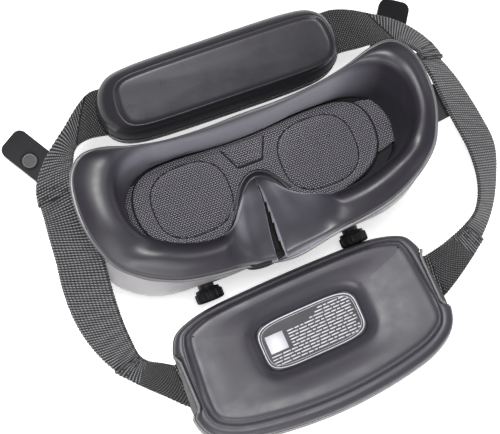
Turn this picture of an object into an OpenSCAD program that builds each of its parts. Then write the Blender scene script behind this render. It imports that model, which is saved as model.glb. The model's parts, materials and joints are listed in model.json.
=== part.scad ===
// FPV goggles with a battery headband, lying on the front visor.
// +X is the wearer's right, +Y is up as worn, +Z points to the wearer's face.
// The origin is on the visor's rest face, under the middle of the two lenses. Millimetres.

/* [Body] */
// Greatest width of the hard housing
body_w = 169; // [165:1:173]
// Height of the lens plane above the rest face
lens_plane_z = 43; // [43:0.5:44]
// Wall thickness of the moulded shells
wall = 2.2; // [1.8:0.1:2.6]

/* [Optics] */
// Distance between the two lens axes
lens_spacing = 64.6; // [62:0.2:66]
// Outer radius of a lens barrel
barrel_r = 21; // [20.5:0.1:21]
// Travel of each eyepiece to either side of the middle
ipd_travel = 4; // [2:0.5:4]
// Radius of a viewing lens
lens_r = 17.6; // [16:0.1:17.6]

/* [Knobs] */
// Distance of a knob axis from the middle plane
knob_x = 38; // [36:0.5:38.5]
// Height of the knob axes above the rest face
knob_z = 22; // [22:0.5:22.5]
// Radius of the knurled knob
knob_r = 7; // [6:0.5:7.5]
// Grip notches round a knob
knob_notches = 12; // [8:1:16]

/* [Antennas] */
// Width of an antenna paddle
antenna_w = 15.4; // [13:0.2:15.4]
// Thickness of an antenna paddle
antenna_t = 6; // [5:0.5:6]
// Length from the pivot to the tip
antenna_l = 55; // [50:1:56]
// Angle of the left antenna above the horizontal as it stands
left_angle = 59.5; // [50:0.5:62]
// Angle of the right antenna above the horizontal as it stands
right_angle = 56; // [50:0.5:62]

/* [Headband] */
// Thickness of the webbing
web_t = 1.6; // [1.2:0.1:1.6]
// Thickness of the battery pod's hard half
pod_h = 20; // [20:0.5:20.5]
// Height of the top of the pod's soft pad
pod_top = 34; // [32:0.5:34]

/* [Forehead pad] */
// Height of the back of the forehead pad
pad_back_z = 47; // [46:1:48]
// Height of the face of the forehead pad
pad_face_z = 76; // [74:1:77]

/* [Hidden] */
$fn = 64;
steps = 3;
lens_x = lens_spacing / 2;
lens_y = 1.5;
front_z = 16;
step_z = 28;
housing_top = 58.5;
front_k = 0.75;
plate_t = 3;
plate_z = lens_plane_z - plate_t;
frame_seat = 60.3;
barrel_bore = barrel_r - 1.8;
cell_r = barrel_bore - 0.05;
barrel_low = 14;
cell_low = 33;
cell_h = 8;
rod_r = 1.5;
rod_offset = 23;
rod_z = 35;
carriage_t = 6;
boss_low_y = -28.5;
boss_high_y = -23.5;
boss_half = 5.2;
floor_z = 30.6;
rod_end = 62;
rod_block_x = 60;
shaft_r = 4;
knob_pin_r = 2.55;
knob_back_y = -38.7;
knob_front_y = -45;
camera_x = 36;
camera_y = 4;
camera_r = 6.8;
board_y = -2;
board_z = 7.4;
pivot_x = 73.6;
pivot_y = 16.8;
cap_back = 15.2;
cap_off = -2.1;
antenna_z = 18.5;
hinge_y = 5;
hinge_z = 45;
anchor_x = 88.2;
clip_x = 85.2;
pod_x = 1.5;
pod_y = -1;
pod_mid_y = -81;
pod_yaw = 2;
slot_y = 5.5;
slot_w = 24;
cell_radius = 8.9;
cell_len = 65;
cell_z = 10.8;
label_w = 50.4;
label_h = 22.8;
label_y = 5.6;
pad_x = 0.2;
pad_y = 48.4;
pad_yaw = -1.5;
pad_seam_z = 57;
fan_x = 70;
fan_y = -3;
fan_z = 30.7;
button_z = 22;
five_way_x = 26;
back_x = 42;
link_x = -42;
vent_z = 38;
vent_y = 28.5;
post_spots = [[68.8, 16.8], [68.8, -20.4], [-68.8, 16.8], [-68.8, -20.4]];
button_x = -24;
port_x = 22;
pod_mid_z = 10;
pod_screw_spots = [[-48, 17], [48, 17], [-48, -18], [48, -18]];

// Right half of each outline, from the top middle clockwise to the nose. The left half mirrors it.
body_half = [[0, 28.5], [18, 29.3], [36, 30], [52, 29.9], [64, 28.5], [74, 24], [81, 16], [84, 7],
             [84.5, -3], [83, -13], [78, -23], [68, -31.6], [55, -36.2], [38, -37], [26, -37],
             [17, -36.8], [10.5, -36.6], [5, -36.4], [0, -36.2]];
base_half = [[0, 25.6], [18, 26.2], [36, 27.2], [51, 28], [62, 28], [70, 25.8], [75.5, 18.8],
             [77.5, 8], [77.5, -3], [75.5, -13], [71, -21.5], [62, -29], [49, -33.6], [36, -35.6],
             [25, -36.2], [17, -36.2], [10.5, -36.2], [5, -36.2], [0, -36.2]];
rim_half = [[0, 23, 88], [18, 22.6, 89], [36, 23, 92.5], [51, 25, 97], [63, 27.8, 101],
            [72.5, 27.6, 102], [79, 21.4, 101], [81.6, 11, 100], [81.6, -2, 98], [78.8, -13, 95],
            [74, -22, 92], [64, -30, 89.5], [51, -36.5, 87.5], [37, -40, 86], [25, -42, 85],
            [17, -43, 84], [10.5, -43.5, 83], [5, -43.8, 82.5], [0, -44, 82.3]];
eye_half = [[0, 20.5, 45], [14, 21, 45], [28, 22.3, 45], [40, 22.4, 45], [50, 21.6, 45],
            [59.5, 18, 45], [66, 11.5, 45], [68.5, 3, 45], [67.5, -6, 45], [63, -12.5, 45],
            [54.5, -17, 45], [45, -20.3, 45], [34, -22, 45], [24, -21.5, 46], [17.5, -16.5, 47],
            [12.5, -9.5, 48.5], [8.2, -3.8, 50], [4, -0.3, 51], [0, 0.8, 51.5]];
cover_half = [[0, 18.8], [14, 19.3], [28, 20.3], [40, 20.4], [49, 19.3], [55.5, 15.8], [59, 10],
              [60.3, 3], [59.6, -4.5], [56.6, -10.5], [51, -15], [43, -18.2], [33.5, -20.3],
              [24.5, -20], [18.6, -15.6], [13.4, -8.4], [9, -2.6], [4.5, 1.3], [0, 2.6]];
pod_half = [[0, -45], [20, -45.2], [38, -45.8], [50, -47.4], [60, -51], [64.3, -57],
            [66, -64], [67, -74], [67.8, -85], [67.2, -95], [62.5, -103], [52, -109],
            [38, -112.4], [20, -114.8], [0, -115.8]];
pad_half = [[0, 17.4], [20, 17.4], [38, 17], [49, 15.2], [55.5, 10], [58.3, 2], [57.8, -6],
            [53.5, -12.5], [45, -16], [30, -17.2], [0, -17.4]];

// Webbing routes: each station is the outer edge and then the inner edge of the band.
strap_left_route = [[[-98, 17, 46], [-79, 13, 57]], [[-99, 8, 44], [-79.5, -3, 57]],
                    [[-100, -3, 41], [-79.5, -13, 54]], [[-102, -17, 36], [-81, -28, 48]],
                    [[-102, -32, 30], [-81.5, -40, 41]], [[-99, -46, 24.5], [-81, -50, 34]],
                    [[-93, -59, 20], [-80, -57, 27]], [[-84, -70, 18.6], [-77, -61, 23]],
                    [[-75, -80, 18.8], [-71.5, -64, 20]], [[-66, -88.8, 19], [-66.5, -67.2, 19]],
                    [[-60, -88.6, 19], [-60.5, -67, 19]]];
strap_right_route = [[[109, 17, 43.5], [94, 17, 61]], [[112, 8, 42], [95, 6, 61]],
                     [[116, -10, 39], [97, -9, 58]], [[118, -25, 35], [100, -26, 53]],
                     [[113.5, -40, 31], [99.5, -41, 48]], [[107, -53, 27], [95, -52, 43]],
                     [[98, -64, 22.5], [89, -57, 34]], [[88.5, -72.5, 19.4], [81.5, -60, 24.5]],
                     [[79, -79.5, 19], [75.5, -61.5, 20]], [[70.5, -84.2, 19], [70, -62.6, 19]],
                     [[64.5, -84.4, 19], [64, -62.8, 19]]];
pad_strap_left_route = [[[-51.5, 63, 57], [-55, 41, 57]], [[-58.5, 63, 57.6], [-64, 42.5, 58]],
                        [[-66.5, 58.5, 57], [-70, 42, 58.5]], [[-75, 51.5, 56], [-74, 39.5, 60]],
                        [[-84.5, 44.5, 54], [-76, 36, 61]], [[-91.5, 38, 51], [-77.5, 32.5, 62]],
                        [[-96.5, 31, 48.5], [-79, 28, 61]], [[-98.5, 22.5, 46.5], [-80, 21, 59.5]]];
pad_strap_right_route = [[[56, 61, 57], [52, 39.5, 57]], [[63, 60.5, 57.6], [60, 39.5, 58]],
                         [[71, 57.5, 58], [68, 38.5, 58.5]], [[79, 53, 57], [77, 37.5, 60]],
                         [[89, 47, 54.5], [84, 35, 62.5]], [[98, 40, 50.5], [89, 30, 64]],
                         [[105, 31, 47], [92.5, 26, 63.5]], [[108.5, 22.5, 44.5], [93.5, 22, 62]]];
anchor_tab_route = [[[86.5, -7, 50.7], [86.5, 11, 50.7]], [[93, -7, 50.7], [93, 11, 50.7]],
                    [[101, -6, 50.4], [101, 11, 50.4]]];

// Smooth curve through four points, at t between the middle two.
function curve(a, b, c, d, t) =
    (2 * b + (c - a) * t + (2 * a - 5 * b + 4 * c - d) * t * t
     + (3 * b - a - 3 * c + d) * t * t * t) / 2;
function closed_curve(p) = let (m = len(p))
    [for (i = [0 : m - 1]) for (k = [0 : steps - 1])
        curve(p[(i + m - 1) % m], p[i], p[(i + 1) % m], p[(i + 2) % m], k / steps)];
function open_curve(p) = let (m = len(p))
    concat([for (i = [0 : m - 2]) for (k = [0 : steps - 1])
        curve(p[max(i - 1, 0)], p[i], p[i + 1], p[min(i + 2, m - 1)], k / steps)], [p[m - 1]]);

// Whole closed outline from a right half.
function mirrored(half) = closed_curve(concat(half,
    [for (i = [len(half) - 2 : -1 : 1]) [for (k = [0 : len(half[i]) - 1]) (k == 0 ? -1 : 1) * half[i][k]]]));
function at_height(ring, z) = [for (p = ring) [p[0], p[1], z]];
function raised(ring, dz) = [for (p = ring) [p[0], p[1], p[2] + dz]];
function scaled(ring, kx, ky, y0 = -3) = [for (p = ring) [p[0] * kx, y0 + (p[1] - y0) * ky, p[2]]];
function moved(ring, dx, dy) = [for (p = ring) [p[0] + dx, p[1] + dy, p[2]]];
function mixed(a, b, t) = [for (i = [0 : len(a) - 1]) a[i] * (1 - t) + b[i] * t];
// Moves an outline outwards by d, or inwards where d is negative.
function grown(ring, d) = let (m = len(ring))
    [for (i = [0 : m - 1]) let (t = ring[(i + 1) % m] - ring[(i + m - 1) % m], l = norm([t[0], t[1]]))
        [ring[i][0] - t[1] / l * d, ring[i][1] + t[0] / l * d, ring[i][2]]];

function side_faces(rows, n, closed) =
    [for (j = [0 : rows - (closed ? 1 : 2)]) for (i = [0 : n - 1])
        let (a = j * n + i, b = j * n + (i + 1) % n, k = ((j + 1) % rows) * n)
        for (f = [[a, b, k + (i + 1) % n], [a, k + (i + 1) % n, k + i]]) f];

// Solid through a stack of outlines, closed at both ends.
module stack(rings) {
    n = len(rings[0]);
    m = len(rings);
    polyhedron([for (r = rings) for (p = r) p],
        concat([[for (i = [n - 1 : -1 : 0]) i]], side_faces(m, n, false),
               [[for (i = [0 : n - 1]) (m - 1) * n + i]]));
}

// Ring whose section runs through every outline and back to the first.
module hoop(rings) {
    polyhedron([for (r = rings) for (p = r) p], side_faces(len(rings), len(rings[0]), true));
}

// Flat band of webbing along a route of edge pairs.
module band(route, t) {
    a = open_curve([for (s = route) s[0]]);
    b = open_curve([for (s = route) s[1]]);
    m = len(a);
    sections = [for (i = [0 : m - 1])
        let (run = (a[min(i + 1, m - 1)] + b[min(i + 1, m - 1)] - a[max(i - 1, 0)] - b[max(i - 1, 0)]),
             n = cross(run, b[i] - a[i]), up = n / norm(n) * t / 2)
        [a[i] + up, a[i] - up, b[i] - up, b[i] + up]];
    polyhedron([for (s = sections) for (p = s) p],
        concat([[3, 2, 1, 0]], side_faces(m, 4, false), [[for (i = [0 : 3]) (m - 1) * 4 + i]]));
}

// Left and right versions are mirror images across the middle plane.
module sided(side) {
    if (side > 0) children();
    else mirror([1, 0, 0]) children();
}

module along_y(r, y0, y1, x = 0, z = 0) {
    translate([x, y1, z]) rotate([90, 0, 0]) cylinder(r = r, h = y1 - y0);
}

module along_x(r, x0, x1, y = 0, z = 0) {
    translate([x0, y, z]) rotate([0, 90, 0]) cylinder(r = r, h = x1 - x0);
}

module plate(ring, z, h) {
    translate([0, 0, z]) linear_extrude(h) polygon([for (p = ring) [p[0], p[1]]]);
}

module pill(w, h) {
    square([w - h, h], center = true);
    for (s = [-1, 1]) translate([s * (w - h) / 2, 0]) circle(h / 2);
}

module rounded(w, h, r) {
    square([w - 2 * r, h], center = true);
    square([w, h - 2 * r], center = true);
    for (sx = [-1, 1], sy = [-1, 1]) translate([sx * (w / 2 - r), sy * (h / 2 - r)]) circle(r);
}

body_ring = at_height(scaled(mirrored(body_half), body_w / 169, 1), 0);
base_ring = at_height(mirrored(base_half), housing_top);
rim_ring = mirrored(rim_half);
eye_ring = mirrored(eye_half);
cover_ring = at_height(mirrored(cover_half), 0);
pod_ring = moved(at_height(mirrored(pod_half), 0), 0, -pod_mid_y);
pad_ring = at_height(mirrored(pad_half), 0);

// Smooth black front that the goggles lie on: up the outside, over the edge and down the inside.
module front_visor() {
    color("#17181b") {
        difference() {
            stack([at_height(scaled(body_ring, 0.52, 0.58), 0), at_height(scaled(body_ring, 0.6, 0.7), 0.9),
                   at_height(scaled(body_ring, 0.69, 0.86), 4), at_height(scaled(body_ring, 0.735, 0.95), 9),
                   at_height(scaled(body_ring, front_k, 0.985), front_z),
                   at_height(scaled(body_ring, front_k - 0.03, 0.92), front_z),
                   at_height(scaled(body_ring, 0.705, 0.89), 10),
                   at_height(scaled(body_ring, 0.66, 0.8), 5),
                   at_height(scaled(body_ring, 0.55, 0.66), wall)]);
            for (s = [-1, 1]) translate([s * camera_x, camera_y, -1]) cylinder(r = camera_r, h = wall + 2);
        }
        for (sx = [-1, 1], sy = [-1, 1])
            translate([sx * 24, board_y + sy * 16, 1]) cylinder(r = 2, h = board_z - 1);
    }
}

module knob_slot(side) {
    for (dx = [-1, 1]) along_y(shaft_r + 0.7, -40, -28, side * knob_x + dx * ipd_travel, knob_z);
    translate([side * knob_x, -34, knob_z])
        cube([2 * ipd_travel, 12, 2 * (shaft_r + 0.7)], center = true);
}

// Gray middle shell that carries everything inside.
module main_housing() {
    color("#9b9b9f") difference() {
        union() {
            difference() {
                stack([at_height(scaled(body_ring, front_k, 0.99), front_z),
                       at_height(scaled(body_ring, front_k, 1), step_z - 0.6),
                       at_height(scaled(body_ring, 0.985, 0.99), step_z + 0.4),
                       at_height(body_ring, step_z + 3), at_height(body_ring, 42),
                       at_height(scaled(body_ring, 0.94, 0.97), 51), base_ring]);
                stack([at_height(scaled(body_ring, front_k - 0.03, 0.92), front_z - 1),
                       at_height(scaled(body_ring, front_k - 0.03, 0.93), step_z + 1.5),
                       at_height(grown(scaled(body_ring, 0.98, 0.985), -wall), step_z + 2.6),
                       at_height(grown(body_ring, -wall), step_z + 5), at_height(grown(body_ring, -wall), 42),
                       at_height(grown(scaled(body_ring, 0.94, 0.97), -wall), 51),
                       at_height(grown(base_ring, -wall), housing_top + 1)]);
            }
            for (p = post_spots) translate([p[0], p[1], step_z + 1])
                cylinder(r = 3.4, h = plate_z - step_z - 1);
        }
        for (p = post_spots) translate([p[0], p[1], plate_z - 8]) cylinder(r = 1.25, h = 9);
        for (s = [-1, 1]) knob_slot(s);
        for (s = [-1, 1]) translate([s * pivot_x, pivot_y, step_z - 2]) cylinder(r = 2, h = 5);
        for (s = [-1, 1]) along_x(3, s > 0 ? 78 : -90, s > 0 ? 90 : -78, hinge_y, hinge_z);
        along_y(4.9, 24, 34, five_way_x, button_z);
        along_y(3.5, 24, 34, back_x, button_z);
        along_y(3.3, 24, 34, link_x, button_z);
        translate([0, 29, vent_z]) cube([40.2, 10, 8.2], center = true);
        translate([-82, -12, 36]) rotate([90, 0, 90]) linear_extrude(12, center = true) pill(9.2, 3.6);
    }
}

// Inner plate round the eyepieces, with the sensor window.
module face_plate() {
    color("#222327") difference() {
        plate(grown(scaled(body_ring, 0.995, 0.99), -wall - 0.4), plate_z, plate_t);
        for (s = [-1, 1]) {
            for (dx = [-1, 1]) translate([s * lens_x + dx * ipd_travel, lens_y, plate_z - 1])
                cylinder(r = barrel_r + 0.6, h = plate_t + 2);
            translate([s * lens_x, lens_y, plate_z + 1])
                cube([2 * ipd_travel, 2 * barrel_r + 1.2, plate_t + 4], center = true);
        }
        for (p = post_spots) translate([p[0], p[1], plate_z - 1]) cylinder(r = 1.25, h = plate_t + 2);
        for (s = [-1, 1]) translate([s * 86, hinge_y, plate_z + 1]) cube([16, 14, 6], center = true);
    }
}

// Gray flange that follows the rubber up to its rim.
module cup_frame() {
    lip = raised(grown(rim_ring, 0.9), -6);
    seat = grown(base_ring, 0.3);
    color("#8c8d92") hoop([seat, mixed(seat, lip, 0.5), lip, raised(grown(rim_ring, -0.5), -6),
                           raised(mixed(grown(base_ring, -1.4), raised(grown(rim_ring, -0.5), -6), 0.5), 0.6),
                           raised(grown(base_ring, -1.6), 1.8), raised(grown(base_ring, -5), 1.8),
                           grown(base_ring, -5)]);
}

// Soft rubber cup that seals against the face, with the nose arch in its floor.
module face_cup() {
    outer = at_height(grown(base_ring, -1.9), frame_seat + 0.2);
    edge = raised(grown(rim_ring, -0.9), -5.4);
    crest = raised(grown(rim_ring, -2.6), 0);
    lip = raised(grown(rim_ring, -7), -1.2);
    skirt = at_height(grown(eye_ring, 2.5), lens_plane_z);
    floor_ring = at_height(grown(base_ring, -6.2), frame_seat + 0.2);
    waist = raised(grown(mixed(lip, eye_ring, 0.7), -0.9), -2);
    color("#3f3f46") hoop([outer, mixed(outer, edge, 0.5), edge, raised(grown(rim_ring, -0.4), -3),
                           crest, lip, raised(mixed(lip, eye_ring, 0.35), -2),
                           waist, eye_ring, skirt,
                           mixed(skirt, floor_ring, 0.85), floor_ring]);
}

// Knitted pad that protects the lenses in storage.
module lens_cover() {
    color("#55565c") {
        stack([at_height(grown(cover_ring, -1.5), 44.2), at_height(cover_ring, 45.4),
               at_height(cover_ring, 48.2), at_height(grown(cover_ring, -1.6), 50)]);
        for (s = [-1, 1]) translate([s * 61.6, 1.5, 45.3]) cube([6.4, 18, 1.8], center = true);
    }
}

module barrel(side) {
    color("#1c1d20") translate([side * lens_x, lens_y, barrel_low]) difference() {
        cylinder(r = barrel_r, h = lens_plane_z + 0.5 - barrel_low);
        translate([0, 0, 1.5]) cylinder(r = barrel_bore, h = 40);
    }
}

module carriage(side) {
    color("#2d2e33") difference() {
        union() {
            translate([side * lens_x, lens_y, rod_z - carriage_t / 2]) linear_extrude(carriage_t) {
                circle(r = barrel_r + 2.4);
                square([30, 2 * rod_offset + 3.8], center = true);
            }
            translate([side * knob_x - boss_half, boss_low_y, knob_z - boss_half])
                cube([2 * boss_half, boss_high_y - boss_low_y, rod_z + carriage_t / 2 - knob_z + boss_half]);
        }
        translate([side * lens_x, lens_y, 10]) cylinder(r = barrel_r, h = 40);
        for (s = [-1, 1]) along_x(rod_r + 0.05, side * lens_x - 30, side * lens_x + 30,
                                  lens_y + s * rod_offset, rod_z);
        along_y(shaft_r + 0.05, -40, -20, side * knob_x, knob_z);
    }
}

module lens_cell(side) {
    color("#26272b") translate([side * lens_x, lens_y, cell_low]) difference() {
        cylinder(r = cell_r, h = cell_h);
        translate([0, 0, -1]) cylinder(r = lens_r, h = cell_h + 2);
    }
}

// Viewing lens: a flat edge band between two shallow domes.
module lens(side) {
    dome = 2.4;
    ball = (lens_r * lens_r + dome * dome) / (2 * dome);
    color("#9fb6c8") translate([side * lens_x, lens_y, cell_low + 2.5]) union() {
        cylinder(r = lens_r, h = 2);
        translate([0, 0, 2]) intersection() {
            translate([0, 0, dome - ball]) sphere(ball, $fn = 96);
            cylinder(r = lens_r, h = dome + 1);
        }
    }
}

module display(side) {
    color("#0c0d10") translate([side * lens_x, lens_y, barrel_low + 1.5])
        linear_extrude(2.4) rounded(26, 24, 1.5);
}

module guide_rods() {
    color("#b9bcc1") for (s = [-1, 1]) along_x(rod_r, -rod_end, rod_end, lens_y + s * rod_offset, rod_z);
}

module rod_blocks() {
    color("#2d2e33") for (sx = [-1, 1], sy = [-1, 1]) difference() {
        translate([sx * rod_block_x - 1.6, lens_y + sy * (rod_offset - 0.3) - 2, floor_z])
            cube([3.2, 4, rod_z + 2.6 - floor_z]);
        along_x(rod_r, sx * rod_block_x - 3, sx * rod_block_x + 3, lens_y + sy * rod_offset, rod_z);
    }
}

// Sliding shaft that carries a focus knob, with the thin pin the knob turns on.
module knob_shaft(side) {
    color("#2a2b30") {
        along_y(shaft_r, knob_back_y + 0.2, -24, side * knob_x, knob_z);
        along_y(knob_pin_r, knob_front_y + 1.4, knob_back_y + 1, side * knob_x, knob_z);
    }
}

module focus_knob(side) {
    color("#17181b") difference() {
        union() {
            along_y(knob_r - 1, knob_back_y - 1, knob_back_y, side * knob_x, knob_z);
            along_y(knob_r, knob_front_y + 0.8, knob_back_y - 0.9, side * knob_x, knob_z);
            along_y(knob_r - 0.8, knob_front_y, knob_front_y + 0.9, side * knob_x, knob_z);
        }
        along_y(knob_pin_r + 0.05, knob_front_y + 1.1, knob_back_y + 1, side * knob_x, knob_z);
        for (i = [0 : knob_notches - 1])
            translate([side * knob_x, 0, knob_z]) rotate([0, i * 360 / knob_notches, 0])
                along_y(0.75, knob_front_y - 1, knob_front_y + 4.4, knob_r + 0.15, 0);
    }
}

module main_board() {
    color("#1f5c3a") translate([0, board_y, board_z]) linear_extrude(1.6) rounded(92, 42, 3);
}

// Finned aluminium block pressed on the board's front face.
module heat_sink() {
    color("#b4b7bb") {
        translate([-20, -18, board_z - 1.6]) cube([40, 30, 1.6]);
        for (i = [0 : 9]) translate([-20 + i * 4.3, -18, board_z - 4.7]) cube([1.3, 30, 3.2]);
    }
}

module fan_frame() {
    color("#202125") translate([fan_x, fan_y, fan_z]) difference() {
        linear_extrude(7) rounded(18.6, 18.6, 2);
        translate([0, 0, 1.2]) cylinder(r = 8.6, h = 7);
        translate([0, 0, -1]) cylinder(r = 0.85, h = 3);
        for (a = [0 : 90 : 270]) rotate(a + 45) translate([5.2, 0, -1]) cylinder(r = 2, h = 3);
    }
}

module fan_impeller() {
    color("#37383e") translate([fan_x, fan_y, fan_z]) {
        translate([0, 0, 0.2]) cylinder(r = 0.8, h = 2.4);
        translate([0, 0, 1.9]) cylinder(r = 3.2, h = 4.4);
        for (a = [0 : 40 : 320]) rotate(a) translate([2.8, -0.4, 2]) rotate([18, 0, 0]) cube([5.1, 0.8, 4]);
    }
}

module front_cameras() {
    color("#0f1013") for (s = [-1, 1]) translate([s * camera_x, camera_y, 0.8]) difference() {
        cylinder(r = camera_r, h = 5.4);
        translate([0, 0, -1]) cylinder(r = camera_r - 2.2, h = 2.2);
    }
}

module proximity_sensor() {
    color("#101114") translate([0, 12, lens_plane_z]) linear_extrude(0.8) rounded(8, 4, 1);
}

module vent_grille() {
    color("#202125") {
        difference() {
            translate([0, vent_y, vent_z]) cube([40, 1.4, 8], center = true);
            translate([0, vent_y, vent_z]) cube([37.6, 4, 5.6], center = true);
        }
        for (i = [-4 : 4]) translate([i * 4.1, vent_y, vent_z]) cube([1.1, 1.2, 6], center = true);
    }
}

module usb_port() {
    color("#c3c5c9") translate([-79.3, -12, 36]) rotate([90, 0, 90]) difference() {
        linear_extrude(7.4, center = true) pill(8.9, 3.3);
        translate([0, 0, -4]) linear_extrude(6) pill(8.1, 2.5);
    }
}

// Round push button in the top wall: a cap and a wider foot that stops it inside.
module push_button(x, r, top) {
    color("#1b1c20") {
        along_y(r, 24.2, top, x, button_z);
        along_y(r + 1.2, 24.2, 25.6, x, button_z);
    }
}

module five_way_button() {
    color("#1b1c20") difference() {
        push_button(five_way_x, 4.6, 31);
        translate([five_way_x, 46.2, button_z]) sphere(16, $fn = 96);
    }
}

module back_button() {
    push_button(back_x, 3.2, 30.5);
}

module link_button() {
    push_button(link_x, 3, 30.5);
}

// Places a child drawn along +X on the pivot, turned to the antenna's angle.
module at_antenna(side) {
    sided(side) translate([pivot_x, pivot_y, antenna_z])
        rotate(side > 0 ? right_angle : left_angle) children();
}

// Flat antenna paddle, modelled unfolded.
module antenna(side) {
    color("#141518") at_antenna(side)
        difference() {
            union() {
                linear_extrude(antenna_t) {
                    circle(antenna_w / 2 - 0.3);
                    translate([antenna_l / 2 - 2, 0]) square([antenna_l - 4, antenna_w - 0.8], center = true);
                }
                translate([antenna_l / 2, 0, 0.8]) linear_extrude(antenna_t - 1.6)
                    rounded(antenna_l, antenna_w, 4);
                translate([antenna_l / 2, 0, 0]) linear_extrude(antenna_t)
                    rounded(antenna_l - 1.6, antenna_w - 1.6, 3.6);
            }
            translate([0, 0, -1]) cylinder(r = 2.05, h = antenna_t + 2);
            translate([antenna_l - cap_back, cap_off, antenna_t - 0.6]) cylinder(r = 4, h = 2);
        }
}

// Round cap in a shallow seat near the tip.
module antenna_cap(side) {
    color("#4a4b50") at_antenna(side)
        translate([antenna_l - cap_back, cap_off, antenna_t - 0.6]) difference() {
            union() {
                cylinder(r = 3.9, h = 1);
                cylinder(r = 3.1, h = 1.5);
            }
            translate([0, 0, 1.25]) cylinder(r = 2.3, h = 1);
        }
}

module antenna_pins() {
    color("#b9bcc1") for (s = [-1, 1]) translate([s * pivot_x, pivot_y, 0]) {
        translate([0, 0, antenna_z - 1.4]) cylinder(r = 3.6, h = 1.1);
        translate([0, 0, antenna_z - 0.4]) cylinder(r = 2, h = step_z + 2.6 - antenna_z);
    }
}

module anchor_pins() {
    color("#b9bcc1") for (s = [-1, 1]) sided(s) {
        along_x(3, 79, anchor_x + 0.6, hinge_y, hinge_z);
        along_x(3.5, anchor_x + 0.3, anchor_x + 1.4, hinge_y, hinge_z);
    }
}

// Hinged arm at the temple, with the plate that the webbing is sewn to.
module strap_clip(side) {
    reach = side > 0 ? 5.4 : 2.4;
    color("#1b1c20") sided(side) difference() {
        union() {
            along_x(4.8, clip_x, anchor_x, hinge_y, hinge_z);
            translate([clip_x, hinge_y - 4.4, hinge_z]) cube([anchor_x - clip_x, 8.8, 4.4]);
            translate([clip_x - 0.7, hinge_y - 4, hinge_z + 3.8]) cube([reach, 12, 1.2]);
        }
        along_x(3.05, 80, 95, hinge_y, hinge_z);
    }
}

module anchor_tab_right() {
    color("#3a3b40") band(anchor_tab_route, 1.2);
}

module strap_left() {
    color("#44454a") band(strap_left_route, web_t);
}

module strap_right() {
    color("#44454a") mirror([1, 0, 0])
        band([for (s = strap_right_route) [for (p = s) [-p[0], p[1], p[2]]]], web_t);
}

module pad_strap_left() {
    color("#44454a") band(pad_strap_left_route, web_t);
}

module pad_strap_right() {
    color("#44454a") mirror([1, 0, 0])
        band([for (s = pad_strap_right_route) [for (p = s) [-p[0], p[1], p[2]]]], web_t);
}

module at_pad() {
    translate([pad_x, pad_y, 0]) rotate(pad_yaw) children();
}

// Outline of the pad drawn in by d and shifted up the forehead.
function pad_level(d, up, z) = at_height(moved(grown(pad_ring, -d), 0, up), z);

module pad_notches(h) {
    at_pad() for (s = [-1, 1]) translate([s * 60, 3, pad_seam_z]) cube([22, 25, h], center = true);
}

// Hard back of the forehead pad, with a notch at each end for the webbing.
module forehead_shell() {
    color("#2b2c31") difference() {
        at_pad() stack([pad_level(7, 0, pad_back_z), pad_level(2, 0, pad_back_z + 3),
                        pad_level(0, 0, pad_back_z + 7), pad_level(0, 0, pad_seam_z)]);
        pad_notches(2.6);
    }
}

module forehead_cushion() {
    color("#3a3a41") difference() {
        at_pad() stack([pad_level(0.6, 0, pad_seam_z), pad_level(0, 0, pad_seam_z + 4),
                        pad_level(2, 0.4, pad_face_z - 7), pad_level(4.5, 1, pad_face_z - 3),
                        pad_level(7.5, 1.7, pad_face_z)]);
        pad_notches(3.4);
    }
}

function pod_at(k, z) = at_height(scaled(pod_ring, k, k, 0), z);

// The pod's own frame: its middle at the origin, turned a little on the table.
module at_pod() {
    translate([pod_x, pod_mid_y + pod_y, 0]) rotate(pod_yaw) children();
}

module slot_cuts(grow) {
    for (s = [-1, 1]) translate([s * 66, slot_y, 19])
        cube([26, slot_w + grow, 3.2 + grow], center = true);
}

// Gray outer tray of the battery pod.
module pod_shell() {
    color("#85868b") at_pod() difference() {
        stack([pod_at(0.8, 0), pod_at(0.88, 1.2), pod_at(0.95, 5), pod_at(0.985, 10),
               pod_at(1, 16), pod_at(1, pod_h - 2.4)]);
        stack([pod_at(0.84, 1.8), pod_at(0.91, 5), pod_at(0.945, 10), pod_at(0.96, 16),
               pod_at(0.96, pod_h)]);
        slot_cuts(0);
        along_y(3.8, 30, 40, button_x, pod_mid_z);
        for (i = [0 : 3]) along_y(0.9, 30, 40, button_x + 8 + i * 4, pod_mid_z);
        translate([port_x, 34, pod_mid_z]) rotate([90, 0, 0])
            linear_extrude(12, center = true) pill(9.2, 3.6);
        for (p = pod_screw_spots) translate([p[0], p[1], -1]) {
            cylinder(r = 2, h = 2.1);
            cylinder(r = 1, h = 6);
        }
    }
}

// Lid of the pod under the soft pad, with a strap slot at each end.
module pod_cover() {
    color("#2b2c31") at_pod() difference() {
        union() {
            plate(pod_at(0.995, 0), pod_h - 2.4, 4.4);
            plate(pod_at(0.958, 0), pod_h - 5, 3);
        }
        plate(pod_at(0.925, 0), pod_h - 6, 5.8);
        slot_cuts(0);
    }
}

// Soft pad with a sunken middle for the label.
module pod_pad() {
    seat = pod_h + 2;
    color("#44444b") at_pod() difference() {
        stack([pod_at(0.975, seat), pod_at(1, seat + 3), pod_at(0.99, seat + 7),
               pod_at(0.95, pod_top - 1.4), pod_at(0.86, pod_top)]);
        hull() {
            translate([0, label_y, seat + 3]) linear_extrude(0.1) rounded(label_w + 1, label_h + 1, 5);
            translate([0, label_y, pod_top + 1])
                linear_extrude(0.1) rounded(label_w + 14, label_h + 13, 9);
        }
    }
}

module label_plate() {
    color("#5d5e63") at_pod() translate([0, label_y, pod_h + 5])
        linear_extrude(0.9) rounded(label_w, label_h, 4.5);
}

module battery_cells() {
    color("#3d6ea8") at_pod() for (s = [-1, 1])
        along_x(cell_radius, -44, cell_len - 44, s * 11.5 - 1, cell_z);
}

module battery_board() {
    color("#1f5c3a") at_pod() translate([25, -17, 1.8]) cube([20, 34, 1.6]);
}

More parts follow.
